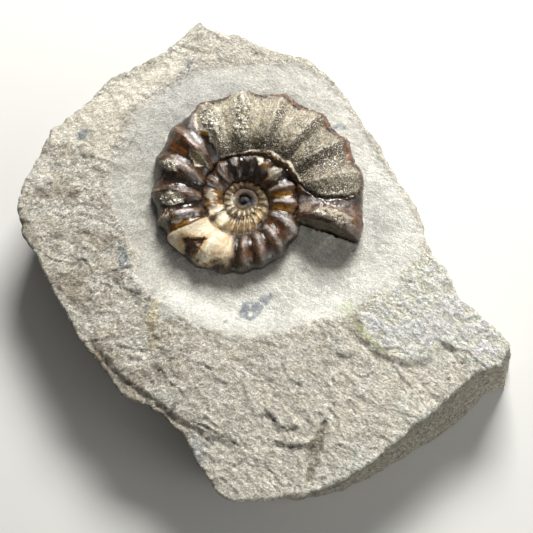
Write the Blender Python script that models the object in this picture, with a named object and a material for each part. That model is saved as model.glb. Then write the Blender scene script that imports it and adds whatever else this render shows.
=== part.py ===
"""A fossil ammonite, coiled and ribbed, bedded in the broken slab of limestone that it was found in.

The slab lies on its underside, face up. Lengths in this file are millimetres until MM turns
them into metres. The origin is at the middle of the slab's outline, at the level it rests on.
Angles are degrees, anticlockwise as seen from above, and run on past 360 along the coil.
"""

import math

import bmesh
import bpy
from mathutils import Vector, noise

MM = 0.001

# Slab of limestone
RIM = [  # corners of the face's broken edge, anticlockwise from the right-hand corner
    (51.0, -20.0), (49.0, -17.5), (46.0, -15.0), (43.5, -12.5), (40.5, -10.5), (39.5, -8.0),
    (38.0, -4.0), (35.0, -1.0), (33.5, 3.0), (33.5, 4.5), (31.5, 10.5), (29.0, 14.0), (26.5, 18.5),
    (24.0, 24.0), (21.0, 28.0), (18.0, 33.5), (15.0, 38.0), (11.0, 41.5), (8.5, 44.0), (3.5, 45.0),
    (-2.0, 47.0), (-6.5, 49.5), (-9.5, 49.5), (-12.0, 51.0), (-15.0, 52.5), (-17.0, 51.0),
    (-18.5, 49.0), (-23.0, 45.0), (-29.0, 42.0), (-34.0, 39.5), (-40.5, 32.5), (-47.0, 27.5),
    (-47.5, 26.0), (-51.5, 17.0), (-53.0, 14.0), (-53.5, 9.5), (-52.0, 3.5), (-49.0, -1.0),
    (-47.0, -5.5), (-42.5, -13.0), (-39.0, -19.5), (-33.5, -26.0), (-30.0, -31.0), (-26.5, -32.5),
    (-22.0, -34.5), (-20.0, -36.5), (-16.5, -40.0), (-14.5, -44.5), (-12.0, -48.0), (-10.0, -51.0),
    (-7.5, -52.5), (-2.0, -52.5), (7.5, -51.5), (16.0, -48.0), (21.0, -45.0), (26.0, -41.0),
    (32.5, -35.5), (37.5, -31.5), (43.5, -26.0), (46.5, -25.0), (49.0, -24.5),
]
POLE = (-3.5, 1.0)  # the slab's faces are laid out round this point, which the ammonite hides
FACE_LEVEL = 20.6  # thickness at the middle
FACE_FALL = 0.0011  # fall of the face towards its edges, per mm squared
FACE_ROUGHNESS = 0.35
EDGE_CRUMBLE = 0.9
HOLLOW_CENTRE, HOLLOW_RADII = (-1.0, 9.6), (32.5, 28.4)  # the prepared ground round the ammonite
HOLLOW_DEPTH_FRONT, HOLLOW_DEPTH_BACK = 2.1, 0.5
HOLLOW_SLOPE = 0.22  # width of its sloping border, as a share of its radii
BURROW = [(12.5, -38.5), (10.5, -42.0), (9.5, -44.0), (8.5, -48.0), (9.5, -50.0)]
BURROW_WIDTH, BURROW_DEPTH = 1.6, 0.7
LEDGES = [  # broken layers: (edge of the upper layer, drop on the right of it, reach of the drop)
    ([(-37.0, -18.0), (-34.0, -21.0), (-30.0, -26.0), (-23.5, -30.5), (-19.5, -33.5), (-15.0, -37.0),
      (-11.0, -39.5), (-5.0, -43.0)], 1.6, 6.0),
    ([(-2.0, -33.5), (0.0, -35.0), (2.5, -38.0), (3.5, -39.0), (6.5, -38.5)], 0.7, 4.0),
    ([(2.0, -42.0), (5.5, -42.5), (8.5, -43.0), (10.0, -42.0)], 0.8, 4.0),
    ([(16.5, -15.0), (20.0, -18.0), (24.5, -22.0), (32.0, -24.5), (34.5, -21.5), (38.0, -20.0),
      (41.0, -22.0), (45.0, -24.0)], 0.9, 8.0),
    ([(-46.0, 25.0), (-39.5, 23.0), (-33.5, 20.0), (-30.0, 17.0)], 0.9, 9.0),
    ([(-32.0, -5.5), (-30.5, -8.0), (-28.5, -9.0), (-24.0, -10.5)], 0.7, 5.0),
]
LEDGE_BREAK = 1.5  # width of the slope down from a layer's edge
SIDE_SPREAD = [  # how far the side leans out below the rim, by direction from POLE
    (-180, -2.5), (-140, -3.5), (-115, -4.0), (-95, -3.5), (-85, -2.0), (-76, 0.0), (-62, 1.2),
    (-55, 2.6), (-46, 4.0), (-38, 5.1), (-30, 5.0), (-25, 3.5), (-20, 2.6), (-12, 0.0), (0, -1.5),
    (60, -2.5), (110, -2.0), (150, -3.0), (180, -2.5),
]
UNDERSIDE_CHIPS = [  # flakes off the lower edge: (direction, width in degrees, height, reach in)
    (-155, 16, 4.0, 8.0), (-95, 14, 3.0, 6.0), (35, 18, 5.0, 9.0), (115, 20, 4.5, 9.0), (175, 12, 3.5, 6.0),
]
LOWER_EDGE_HEIGHT, LOWER_EDGE_REACH = 0.5, 1.2  # the edge's own small break all round

# Ammonite
COIL_CENTRE, COIL_LEVEL = (-4.9, 9.9), 20.0
APERTURE = -19.0  # direction of the broken mouth, where the outer whorl ends
WHORLS = 3
VENTER = [  # outer edge of the last whorl
    (-19, 25.0), (0, 25.2), (25, 25.5), (50, 25.3), (75, 24.9), (95, 24.2), (115, 23.4), (135, 22.0),
    (155, 20.4), (180, 18.8), (205, 17.7), (230, 16.5), (260, 15.1), (290, 14.0), (320, 13.2), (341, 12.6),
]
SEAM = [  # inner edge of each whorl, where it lies on the one before
    (-60, 11.4), (0, 11.2), (45, 11.2), (90, 10.6), (135, 9.4), (180, 8.5), (225, 8.0), (270, 7.2),
    (315, 6.1), (360, 5.1), (405, 4.7), (450, 4.5), (540, 4.1), (630, 3.4), (720, 2.5), (810, 2.1),
    (900, 1.75), (990, 1.4), (1080, 1.1),
]
VENTER_OVER_SEAM = 1.12  # a covered whorl's outer edge against the seam that covers it
THICKNESS_RATIO = 0.45  # half thickness of a whorl against its height
PIT_LEVEL = 0.2  # height of the coil's centre above its middle plane
RIB_CRESTS = [
    -14, 9, 31, 48, 70, 91, 113, 134, 153, 176, 195, 213, 234, 254, 271, 287, 305, 325, 342, 360,
    380, 402, 421, 441, 465, 492, 513, 537, 558, 576, 599, 613, 623, 634, 646, 658, 673, 690,
]
INNER_RIB_STEP = 20.0
RIB_RATIO = 0.20  # rib height against the whorl's half thickness
RIB_WIDTH = 0.23  # of the space between two ribs
RIB_LEAN, RIB_LEAN_FROM, RIB_LEAN_BY = 6.0, 240.0, 300.0  # ribs lean forward on the younger whorls
CRACK = [(0.0, 16.0), (0.2, 9.0), (0.4, 4.0), (0.7, 1.5), (0.9, 3.5), (1.0, 6.0)]  # across the whorl
CRACK_HALF_WIDTH, CRACK_DEPTH = 2.2, 1.1

# Fineness of the faces
COLUMN_SPACING, RINGS_ON_FACE, RINGS_ON_SIDE = 3.0, 16, 4
STEPS_PER_RIB, ROWS_ABOVE, ROWS_VENTER, ROWS_BELOW = 4, 6, 6, 3
SOCKET_STEPS, SOCKET_ROWS = 40, 3
CLEARANCE = 0.35  # between the ammonite and its bed


def clear_scene():
    for obj in list(bpy.data.objects):
        bpy.data.objects.remove(obj, do_unlink=True)


def clamp(value, low=0.0, high=1.0):
    return max(low, min(high, value))


def smooth_step(value, start, end):
    t = clamp((value - start) / (end - start))
    return t * t * (3 - 2 * t)


def along(table, position):
    """The value at a position in a table of (position, value) pairs, straight between them."""
    if position <= table[0][0]:
        return table[0][1]
    for (a, low), (b, high) in zip(table, table[1:]):
        if position <= b:
            return low + (high - low) * (position - a) / (b - a)
    return table[-1][1]


def rounded_along(table, position, reach=14.0, samples=5):
    """The same, with the corners of the table rounded off over a reach to each side."""
    offsets = [reach * (2 * i / (samples - 1) - 1) for i in range(samples)]
    return sum(along(table, position + offset) for offset in offsets) / samples


def direction(degrees):
    return Vector((math.cos(math.radians(degrees)), math.sin(math.radians(degrees))))


def rock_noise(x, y, size, seed=0.0, octaves=3):
    """Smooth noise from about -1 to 1, with lumps of the given size in mm."""
    return noise.fractal(Vector((x / size, y / size, seed)), 0.8, 2.1, octaves)


def distance_to_path(point, path):
    """(distance, side, share of the way along) from a path; side is positive on its left."""
    nearest, side, at = 1e9, 1.0, 0.0
    for i, (start, end) in enumerate(zip(path, path[1:])):
        a, b = Vector(start), Vector(end)
        run = b - a
        t = clamp((point - a).dot(run) / run.length_squared)
        away = point - (a + run * t)
        if away.length < nearest:
            nearest = away.length
            side = 1.0 if run.x * away.y - run.y * away.x >= 0 else -1.0
            at = (i + t) / (len(path) - 1)
    return nearest, side, at


def ledge_drop(point):
    """How far broken layers lower the face at a point. The drop fades away from each edge."""
    total = 0.0
    for path, drop, reach in LEDGES:
        away, side, at = distance_to_path(point, path)
        ends = smooth_step(at, 0.0, 0.15) * smooth_step(1 - at, 0.0, 0.15)
        if side < 0:
            total += drop * smooth_step(away, 0.0, LEDGE_BREAK) * math.exp(-away / reach) * ends
    return total


def hollow_drop(point):
    """Depth of the prepared hollow round the ammonite, deeper on its front side."""
    dx = (point.x - HOLLOW_CENTRE[0]) / HOLLOW_RADII[0]
    dy = (point.y - HOLLOW_CENTRE[1]) / HOLLOW_RADII[1]
    out = math.hypot(dx, dy)
    front = smooth_step(-dy / max(out, 1e-6), -0.1, 0.9)
    depth = HOLLOW_DEPTH_BACK + (HOLLOW_DEPTH_FRONT - HOLLOW_DEPTH_BACK) * front
    return depth * (1 - smooth_step(out, 1 - HOLLOW_SLOPE, 1.0))


def burrow_drop(point):
    away, _, at = distance_to_path(point, BURROW)
    width = BURROW_WIDTH * (0.6 + 0.8 * math.sin(math.pi * clamp(at)))
    return BURROW_DEPTH * math.exp(-(away / width) ** 2)


def face_height(x, y):
    """Height of the slab's upper face."""
    point = Vector((x, y))
    height = FACE_LEVEL - FACE_FALL * point.length_squared
    height += FACE_ROUGHNESS * rock_noise(x, y, 9.0, seed=3.0)
    return height - hollow_drop(point) - ledge_drop(point) - burrow_drop(point)


def slab_columns():
    """(direction, distance from POLE) of the rim's corners, with more between far ones."""
    columns = []
    for a, b in zip(RIM, RIM[1:] + RIM[:1]):
        start, end = Vector(a) - Vector(POLE), Vector(b) - Vector(POLE)
        steps = max(1, round((end - start).length / COLUMN_SPACING))
        for spot in (start.lerp(end, k / steps) for k in range(steps)):
            columns.append((math.degrees(math.atan2(spot.y, spot.x)), spot.length))
    return sorted(columns)


def chip_at(degrees):
    """(height, reach inwards) of the underside's broken edge in a direction."""
    height, reach = LOWER_EDGE_HEIGHT, LOWER_EDGE_REACH
    for centre, width, high, inwards in UNDERSIDE_CHIPS:
        off = abs((degrees - centre + 180) % 360 - 180) / width
        share = 1 - smooth_step(off, 0.4, 1.0)
        height += (high - LOWER_EDGE_HEIGHT) * share
        reach += (inwards - LOWER_EDGE_REACH) * share
    return height, reach


def slab_column(degrees, rim):
    """Points of the slab from beside its pole, out over the face, down the side and under."""
    ray = direction(degrees)
    lean = rounded_along(SIDE_SPREAD, degrees, reach=8.0)

    def at(radius, height):
        return Vector((POLE[0] + ray.x * radius, POLE[1] + ray.y * radius, height))

    points = []
    for ring in range(1, RINGS_ON_FACE + 1):
        radius = rim * ring / RINGS_ON_FACE
        spot = at(radius, 0)
        points.append(at(radius, face_height(spot.x, spot.y)))
    rim_height = points[-1].z
    crumble = EDGE_CRUMBLE * (1 + rock_noise(ray.x * 9, ray.y * 9, 1.0, seed=7.0))
    points[-1].z -= crumble
    points.insert(-1, at(rim - 1.2, rim_height))
    chip_height, chip_reach = chip_at(degrees)
    for ring in range(1, RINGS_ON_SIDE + 1):
        share = ring / RINGS_ON_SIDE
        height = (rim_height - crumble) * (1 - share) + chip_height * share
        bulge = 0.8 * rock_noise(ray.x * rim, ray.y * rim + 3 * ring, 7.0, seed=11.0)
        points.append(at(rim + lean * share + bulge * math.sin(math.pi * share), height))
    points.append(at(rim + lean - chip_reach, 0.0))
    return points


def mesh_object(name, points, faces):
    """A named object from points in mm, with its faces turned outwards."""
    mesh = bpy.data.meshes.new(name)
    mesh.from_pydata([Vector(p) * MM for p in points], [], faces)
    shape = bmesh.new()
    shape.from_mesh(mesh)
    bmesh.ops.recalc_face_normals(shape, faces=shape.faces)
    bmesh.ops.triangulate(shape, faces=shape.faces)
    shape.to_mesh(mesh)
    shape.free()
    obj = bpy.data.objects.new(name, mesh)
    bpy.context.scene.collection.objects.link(obj)
    return obj


def stone(name, colour, roughness):
    material = bpy.data.materials.new(name)
    material.use_nodes = True
    shader = material.node_tree.nodes["Principled BSDF"]
    shader.inputs["Base Color"].default_value = (*colour, 1.0)
    shader.inputs["Roughness"].default_value = roughness
    shader.inputs["Metallic"].default_value = 0.0
    return material


def build_matrix():
    columns = [slab_column(degrees, rim) for degrees, rim in slab_columns()]
    rows = len(columns[0])
    points = [p for column in columns for p in column]
    top = len(points)
    points.append(Vector((*POLE, face_height(*POLE))))
    faces = []
    for i in range(len(columns)):
        here, there = i * rows, (i + 1) % len(columns) * rows
        faces.append((top, here, there))
        for j in range(rows - 1):
            faces.append((here + j, here + j + 1, there + j + 1, there + j))
    faces.append(tuple(i * rows + rows - 1 for i in range(len(columns))))
    slab = mesh_object("matrix", points, faces)
    slab.data.materials.append(stone("limestone", (0.52, 0.50, 0.45), 0.92))
    return slab


def seam_radius(angle):
    return rounded_along(SEAM, angle)


def venter_radius(angle):
    if angle <= APERTURE + 360:
        return rounded_along(VENTER, angle)
    return VENTER_OVER_SEAM * seam_radius(angle - 360)


def half_thickness(angle):
    return THICKNESS_RATIO * (venter_radius(angle) - seam_radius(angle))


def rib_strength(across):
    """A rib's full height, 0 to 1, at a share across the whorl from its seam to its venter."""
    return 0.35 + 0.65 * math.sin(math.pi * (0.1 + 0.8 * across))


def rib_swell(angle, across):
    """Rib height, 0 to 1, at an angle along the coil and a share across the whorl."""
    lean = RIB_LEAN * smooth_step(angle, RIB_LEAN_FROM, RIB_LEAN_BY)
    at = angle + lean * across
    crests = RIB_CRESTS
    if at > RIB_CRESTS[-1]:
        past = INNER_RIB_STEP * math.floor((at - RIB_CRESTS[-1]) / INNER_RIB_STEP)
        crests = [RIB_CRESTS[-1] + past, RIB_CRESTS[-1] + past + INNER_RIB_STEP]
    after = min((c for c in crests if c >= at), default=crests[-1])
    before = max((c for c in crests if c <= at), default=crests[0])
    spacing = (after - before) or INNER_RIB_STEP
    off = min(abs(at - before), abs(after - at)) / (RIB_WIDTH * spacing)
    return math.exp(-off * off) * rib_strength(across)


def crack_drop(angle, across):
    """Depth of the crack between the rock filling and the broken mouth's piece."""
    if angle > 40:
        return 0.0
    off = (angle - along(CRACK, across)) / CRACK_HALF_WIDTH
    return CRACK_DEPTH * math.exp(-off * off) * smooth_step(1 - across, 0.0, 0.15)


def whorl_section(angle):
    """(middle radius, half height, half thickness) of the whorl's oval section."""
    outer, inner = venter_radius(angle), 0.97 * seam_radius(angle)
    return (outer + inner) / 2, (outer - inner) / 2, half_thickness(angle)


def seam_level(angle):
    """Height of the seam over the middle plane: that of the covered whorl where it is covered."""
    middle, half, thick = whorl_section(angle + 360)
    return thick * math.sqrt(clamp(1 - ((seam_radius(angle) - middle) / half) ** 2))


def turn_of(angle, radius):
    """The angle round the whorl's section at which its surface has a radius from the axis."""
    middle, half, _ = whorl_section(angle)
    return math.degrees(math.acos(clamp((radius - middle) / half, -1.0, 1.0)))


def coil_point(angle, turn, seam_pull=0.0, grow=0.0, ribs=True):
    """A point of the shell. turn is 0 at the venter, 90 on top of the flank, -90 below it."""
    middle, half, thick = whorl_section(angle)
    c, s = math.cos(math.radians(turn)), math.sin(math.radians(turn))
    out = grow
    if ribs:
        inner = turn_of(angle, seam_radius(angle))
        across = clamp(1 - abs(turn) / inner)
        out += RIB_RATIO * thick * rib_swell(angle, across) - crack_drop(angle, across) * (turn > 0)
    normal = Vector((c / half, s / thick)).normalized()
    radius = middle + half * c + normal.x * out * (1 - seam_pull)
    level = thick * s + normal.y * out * (1 - seam_pull)
    own_level = thick * math.sin(math.radians(turn_of(angle, seam_radius(angle))))
    level += math.copysign(seam_pull, turn) * (seam_level(angle) - own_level) if seam_pull else 0.0
    ray = direction(angle)
    return Vector((COIL_CENTRE[0] + ray.x * radius, COIL_CENTRE[1] + ray.y * radius, COIL_LEVEL + level))


def flank_turns(angle, covered, rows):
    """Section angles from the whorl's inner seam out to the next seam or to the shoulder."""
    inner = turn_of(angle, seam_radius(angle))
    if covered:
        outer = turn_of(angle, seam_radius(angle - 360))
    else:
        outer = turn_of(angle, VENTER_OVER_SEAM ** -1 * venter_radius(angle))
    return [inner + (outer - inner) * j / rows for j in range(rows + 1)]


def whorl_steps():
    """Offsets from the mouth, over one whorl, of the mesh's columns: on each rib and between."""
    first = [APERTURE] + [crest for crest in RIB_CRESTS if crest < APERTURE + 350] + [APERTURE + 360]
    steps = [0.0]
    for a, b in zip(first, first[1:]):
        parts = STEPS_PER_RIB if b - a > 10 else 1
        steps += [a + (b - a) * (k + 1) / parts - APERTURE for k in range(parts)]
    return steps[:-1]


def build_ammonite():
    steps = whorl_steps()
    per_whorl = len(steps)
    columns = WHORLS * per_whorl + 1
    points, faces, above, below, edge = [], [], [], [], []

    def add(point):
        points.append(point)
        return len(points) - 1

    for i in range(columns):
        angle = APERTURE + steps[i % per_whorl] + 360.0 * (i // per_whorl)
        covered = i >= per_whorl
        for side, rows, grid in ((1, ROWS_ABOVE, above), (-1, ROWS_BELOW, below)):
            turns = flank_turns(angle, covered, rows)
            pulls = [(1 - j / rows) ** 3 for j in range(rows + 1)]
            last = rows if covered else rows + 1
            column = [add(coil_point(angle, side * turns[j], pulls[j])) for j in range(last)]
            if covered:
                column.append(grid[i - per_whorl][0])
            grid.append(column)
        if i <= per_whorl:
            start = flank_turns(angle, False, 1)[-1]
            turns = [start - 2 * start * k / ROWS_VENTER for k in range(1, ROWS_VENTER)]
            edge.append([above[i][-1], *(add(coil_point(angle, t)) for t in turns), below[i][-1]])

    for grid in (above, below):
        for left, right in zip(grid, grid[1:]):
            for j in range(len(left) - 1):
                faces.append((left[j], left[j + 1], right[j + 1], right[j]))
    for left, right in zip(edge, edge[1:]):
        for k in range(ROWS_VENTER):
            faces.append((left[k], left[k + 1], right[k + 1], right[k]))
    # The broken mouth: the outer whorl's section, less the whorl that it lies on.
    mouth = above[0] + edge[0][1:-1] + below[0][::-1]
    faces.append(tuple(mouth + edge[-1][1:-1][::-1]))
    # The coil's centre, above and below, is closed to a small pit.
    for side, grid in ((1, above), (-1, below)):
        pit = add(Vector((*COIL_CENTRE, COIL_LEVEL + side * PIT_LEVEL)))
        ring = [column[0] for column in grid[-per_whorl - 1:]]
        for a, b in zip(ring, ring[1:]):
            faces.append((pit, a, b))
        end = grid[-1]
        faces.append(tuple([pit, *end]))
    shell = mesh_object("ammonite", points, faces)
    shell.data.materials.append(stone("calcite", (0.20, 0.13, 0.09), 0.35))
    return shell


def build_socket():
    """The bed that the ammonite's lower half lies in, as a cutter for the slab."""
    above_all = COIL_LEVEL + 15.0
    points, faces, columns = [], [], []
    for i in range(SOCKET_STEPS + 1):
        angle = APERTURE + 360.0 * i / SOCKET_STEPS
        low = []
        for j in range(SOCKET_ROWS + 1):
            ribs = RIB_RATIO * half_thickness(angle) * rib_strength(1 - 0.5 * j / SOCKET_ROWS)
            low.append(coil_point(angle, -90.0 * j / SOCKET_ROWS, grow=CLEARANCE + ribs, ribs=False))
        column = [Vector((low[0].x, low[0].y, above_all)), *low]
        columns.append(list(range(len(points), len(points) + len(column))))
        points += column
    floor = len(points)
    points.append(Vector((*COIL_CENTRE, COIL_LEVEL - half_thickness(APERTURE + 180))))
    for left, right in zip(columns, columns[1:]):
        for j in range(len(left) - 1):
            faces.append((left[j], left[j + 1], right[j + 1], right[j]))
        faces.append((left[-1], floor, right[-1]))
    faces.append(tuple(column[0] for column in columns))
    faces.append(tuple([*columns[0], floor, *columns[-1][::-1]]))
    socket = mesh_object("socket", points, faces)
    socket.hide_render = True
    socket.display_type = "WIRE"
    return socket


def main():
    clear_scene()
    slab = build_matrix()
    build_ammonite()
    cut = slab.modifiers.new("bed of the ammonite", "BOOLEAN")
    cut.operation = "DIFFERENCE"
    cut.object = build_socket()


main()
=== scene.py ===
import math
from types import SimpleNamespace

import bmesh
import bpy
import numpy as np
from mathutils import Euler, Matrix, Vector, bvhtree, geometry, noise


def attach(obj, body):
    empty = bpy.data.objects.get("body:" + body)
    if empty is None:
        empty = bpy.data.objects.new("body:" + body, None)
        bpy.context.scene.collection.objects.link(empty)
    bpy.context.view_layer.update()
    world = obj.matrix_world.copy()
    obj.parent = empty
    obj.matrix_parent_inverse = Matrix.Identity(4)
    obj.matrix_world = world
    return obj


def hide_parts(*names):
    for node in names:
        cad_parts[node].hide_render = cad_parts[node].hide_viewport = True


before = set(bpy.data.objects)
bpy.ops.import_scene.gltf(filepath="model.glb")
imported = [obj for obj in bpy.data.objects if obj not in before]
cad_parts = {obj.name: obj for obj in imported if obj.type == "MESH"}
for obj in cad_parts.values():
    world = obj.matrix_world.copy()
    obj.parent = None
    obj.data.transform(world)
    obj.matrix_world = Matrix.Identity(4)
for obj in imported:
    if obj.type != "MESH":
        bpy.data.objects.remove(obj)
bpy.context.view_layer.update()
mm = 0.001  # lengths below are millimetres, turned into metres where a mesh or a lamp is made
print("frame loaded:", ", ".join(sorted(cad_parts)))


# Small tools for shapes

def smoothStep(value, start, end):
    t = np.clip((value - start) / (end - start), 0.0, 1.0)
    return t * t * (3 - 2 * t)


def along(table, position):
    places, values = zip(*table)
    return np.interp(position, places, values)


def roundedAlong(table, position, reach=14.0, samples=5):
    # the same, with the table's corners rounded off over a reach to each side
    return sum(along(table, position + offset) for offset in np.linspace(-reach, reach, samples)) / samples


def fractal(x, y, z, octaves):
    # layered noise from about -1 to 1, each layer 2.1 times finer than the one before
    return noise.fractal((x, y, z), 0.8, 2.1, octaves)


def lumps(x, y, size, seed, octaves=3, stretch=1.0, direction=0.0):
    # noise over the plan; with a stretch, its lumps are longer along a direction in degrees
    c, s = math.cos(math.radians(direction)), math.sin(math.radians(direction))
    u = (x * c + y * s) / (size * stretch)
    v = (y * c - x * s) / size
    return np.array([fractal(a, b, seed, octaves) for a, b in zip(u, v)])


def solidLumps(points, size, seed):
    return np.array([fractal(x / size, y / size, z / size + seed, 3) for x, y, z in points])


def pathDistance(x, y, path):
    # distance from a path, side of it (1 on its left) and share of the way along it
    nearest, side, share = np.full(x.shape, 1e9), np.ones(x.shape), np.zeros(x.shape)
    for i, ((ax, ay), (bx, by)) in enumerate(zip(path, path[1:])):
        runX, runY = bx - ax, by - ay
        t = np.clip(((x - ax) * runX + (y - ay) * runY) / (runX * runX + runY * runY), 0.0, 1.0)
        offX, offY = x - ax - t * runX, y - ay - t * runY
        away = np.hypot(offX, offY)
        closer = away < nearest
        nearest = np.where(closer, away, nearest)
        side = np.where(closer, np.where(runX * offY - runY * offX >= 0, 1.0, -1.0), side)
        share = np.where(closer, (i + t) / (len(path) - 1), share)
    return nearest, side, share


def depthInside(x, y, outline):
    # how far inside a closed outline a point lies; negative outside
    inside = np.zeros(x.shape, bool)
    closed = list(outline) + [outline[0]]
    for (ax, ay), (bx, by) in zip(closed, closed[1:]):
        if ay != by:
            inside ^= ((ay > y) != (by > y)) & (x < (bx - ax) * (y - ay) / (by - ay) + ax)
    away = pathDistance(x, y, closed)[0]
    return np.where(inside, away, -away)


def patch(x, y, outline, soft):
    # 1 inside an outline, 0 outside, with a soft edge
    return smoothStep(depthInside(x, y, outline), -soft, soft)


def line(x, y, path, width):
    # 1 on a path, fading to 0 at its width, and thinner towards its ends
    away, _, share = pathDistance(x, y, path)
    ends = np.sqrt(np.clip(4 * share * (1 - share), 0.02, 1.0))
    return np.exp(-(away / (width * ends)) ** 2)


def mixed(under, over, share):
    # colours under others, which cover their share
    return under + (np.asarray(over) - under) * np.asarray(share)[:, None]


def tone(red, green, blue):
    # a colour as seen on a screen, 0 to 255, turned into light
    return tuple(((c / 255 + 0.055) / 1.055) ** 2.4 if c > 10 else c / 3295 for c in (red, green, blue))


def hexagonalPoints(low, high, spacing, jitter, draw):
    # points in rows, each moved a little at random
    rows = np.arange(low[1], high[1], spacing * math.sqrt(3) / 2)
    columns = np.arange(low[0], high[0], spacing)
    x, y = np.meshgrid(columns, rows)
    x = x + (np.arange(len(rows)) % 2 * spacing / 2)[:, None]
    x, y = x.ravel(), y.ravel()
    moveX, moveY = (draw.uniform(-jitter, jitter, x.shape) * spacing for _ in range(2))
    return x + moveX, y + moveY


def filledOutline(rimX, rimY, x, y):
    # triangles that fill a closed outline, through extra points inside it
    corners = [Vector(p) for p in zip(rimX.tolist() + x.tolist(), rimY.tolist() + y.tolist())]
    ring = [(i, (i + 1) % len(rimX)) for i in range(len(rimX))]
    made = geometry.delaunay_2d_cdt(corners, ring, [], 1, 1e-6)
    assert len(made[0]) == len(corners), "the outline crosses itself"
    return [tuple(face) for face in made[2]]


def pieceFrom(name, points, faces, masks, tint, material):
    mesh = bpy.data.meshes.new(name)
    mesh.from_pydata((points * mm).tolist(), [], faces)
    mesh.polygons.foreach_set("use_smooth", [True] * len(mesh.polygons))
    for key, values in masks.items():
        mesh.attributes.new(key, "FLOAT", "POINT").data.foreach_set("value", np.asarray(values, np.float32))
    colours = np.ones((len(points), 4), np.float32)
    colours[:, :3] = tint
    mesh.color_attributes.new("tint", "FLOAT_COLOR", "POINT").data.foreach_set("color", colours.ravel())
    mesh.materials.append(material)
    piece = bpy.data.objects.new(name, mesh)
    bpy.context.scene.collection.objects.link(piece)
    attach(piece, "root")
    return piece


# Small tools for materials

def freshMaterial(name):
    material = bpy.data.materials.new(name)
    material.use_nodes = True
    return material, material.node_tree, material.node_tree.nodes["Principled BSDF"]


def add(tree, kind, inputs=None, **settings):
    node = tree.nodes.new("ShaderNode" + kind)
    for key, value in settings.items():
        setattr(node, key, value)
    for socket, value in (inputs or {}).items():
        if isinstance(value, bpy.types.NodeSocket):
            tree.links.new(value, node.inputs[socket])
        else:
            node.inputs[socket].default_value = value
    return node


def maths(tree, operation, a, b=0.0):
    return add(tree, "Math", {0: a, 1: b}, operation=operation).outputs[0]


def blend(tree, share, under, over, kind="MIX"):
    return add(tree, "Mix", {0: share, 6: under, 7: over}, data_type="RGBA", blend_type=kind).outputs[2]


def between(tree, share, low, high):
    # low where the share is 0, high where it is 1
    return add(tree, "MapRange", {0: share, 3: low, 4: high}).outputs[0]


def mixedValue(tree, share, low, high):
    # the same, where low and high are sockets too
    return add(tree, "Mix", {0: share, 2: low, 3: high}, data_type="FLOAT").outputs[0]


def product(tree, result, *others):
    for other in others:
        result = maths(tree, "MULTIPLY", result, other)
    return result


def fromHalf(tree, value):
    # how far a noise is from its middle, which is smallest along thin winding lines
    return maths(tree, "ABSOLUTE", maths(tree, "SUBTRACT", value, 0.5))


def step(tree, value, start, end):
    node = add(tree, "MapRange", {0: value, 1: start, 2: end}, interpolation_type="SMOOTHSTEP")
    return node.outputs[0]


def contrast(tree, value, start, end, low, high):
    # low where the value is under its start, high where it is over its end
    return between(tree, step(tree, value, start, end), low, high)


def shadedTint(tree, shade):
    # the colours painted on the mesh, made lighter or darker
    tint = add(tree, "Attribute", attribute_name="tint").outputs["Color"]
    grey = add(tree, "CombineColor", {0: shade, 1: shade, 2: shade}).outputs[0]
    return blend(tree, 1.0, tint, grey, "MULTIPLY")


def mask(tree, name):
    # a value from 0 to 1 that the mesh holds at each of its points
    return add(tree, "Attribute", attribute_name=name).outputs["Fac"]


def millimetres(tree, stretch=(1.0, 1.0, 1.0), turn=0.0):
    # places in mm; a stretch makes what is read there longer along the turned axes
    places = add(tree, "TexCoord").outputs["Object"]
    scaled = [1 / (mm * s) for s in stretch]
    turnBy = {"Vector": places, "Angle": math.radians(-turn)}
    turned = add(tree, "VectorRotate", turnBy, rotation_type="Z_AXIS").outputs[0]
    return add(tree, "VectorMath", {0: turned, 1: scaled}, operation="MULTIPLY").outputs[0]


def grain(tree, places, size, detail=3.0, rough=0.55, twist=0.0):
    inputs = {"Vector": places, "Scale": 1 / size, "Detail": detail, "Roughness": rough, "Distortion": twist}
    return add(tree, "TexNoise", inputs).outputs["Fac"]


def bumps(tree, shader, heights):
    # heights: (height socket, depth in mm, strength), the coarsest first
    normal = None
    for height, depth, strength in heights:
        inputs = {"Height": height, "Distance": depth * mm, "Strength": strength}
        if normal:
            inputs["Normal"] = normal
        normal = add(tree, "Bump", inputs).outputs[0]
    tree.links.new(normal, shader.inputs["Normal"])


# Camera, lamps and floor

studio = {
    "cameraSpot": (-0.1, -76.3, 311.1), "lookAt": (-0.1, -3.7, 20.0), "lens": 96.49, "sensor": 36.0,
    "softbox": {"spot": (70, 330, 310), "size": (190, 130), "power": 3.75, "colour": (1.0, 0.985, 0.96)},
    "fill": {"spot": (260, -220, 320), "size": (420, 420), "power": 0.42, "colour": (1.0, 0.99, 0.97)},
    "side": {"spot": (400, -230, 110), "size": (200, 120), "power": 0.55, "colour": (1.0, 0.99, 0.97)},
    "skyColour": (0.90, 0.88, 0.84), "skyStrength": 0.11,
    "floorTone": tone(214, 214, 211), "floorShade": 0.97, "floorGrain": 30.0, "floorRoughness": 0.85,
    "floorSize": 3000.0,
}


def pointAt(item, spot, target):
    item.location = Vector(spot) * mm
    item.rotation_mode = "QUATERNION"
    item.rotation_quaternion = (Vector(target) - Vector(spot)).to_track_quat("-Z", "Y")


def addLamp(name, settings):
    lamp = bpy.data.lights.new(name, "AREA")
    lamp.shape = "RECTANGLE"
    lamp.size, lamp.size_y = (side * mm for side in settings["size"])
    lamp.energy = settings["power"]
    lamp.color = settings["colour"]
    item = bpy.data.objects.new(name, lamp)
    bpy.context.scene.collection.objects.link(item)
    pointAt(item, settings["spot"], studio["lookAt"])


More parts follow.
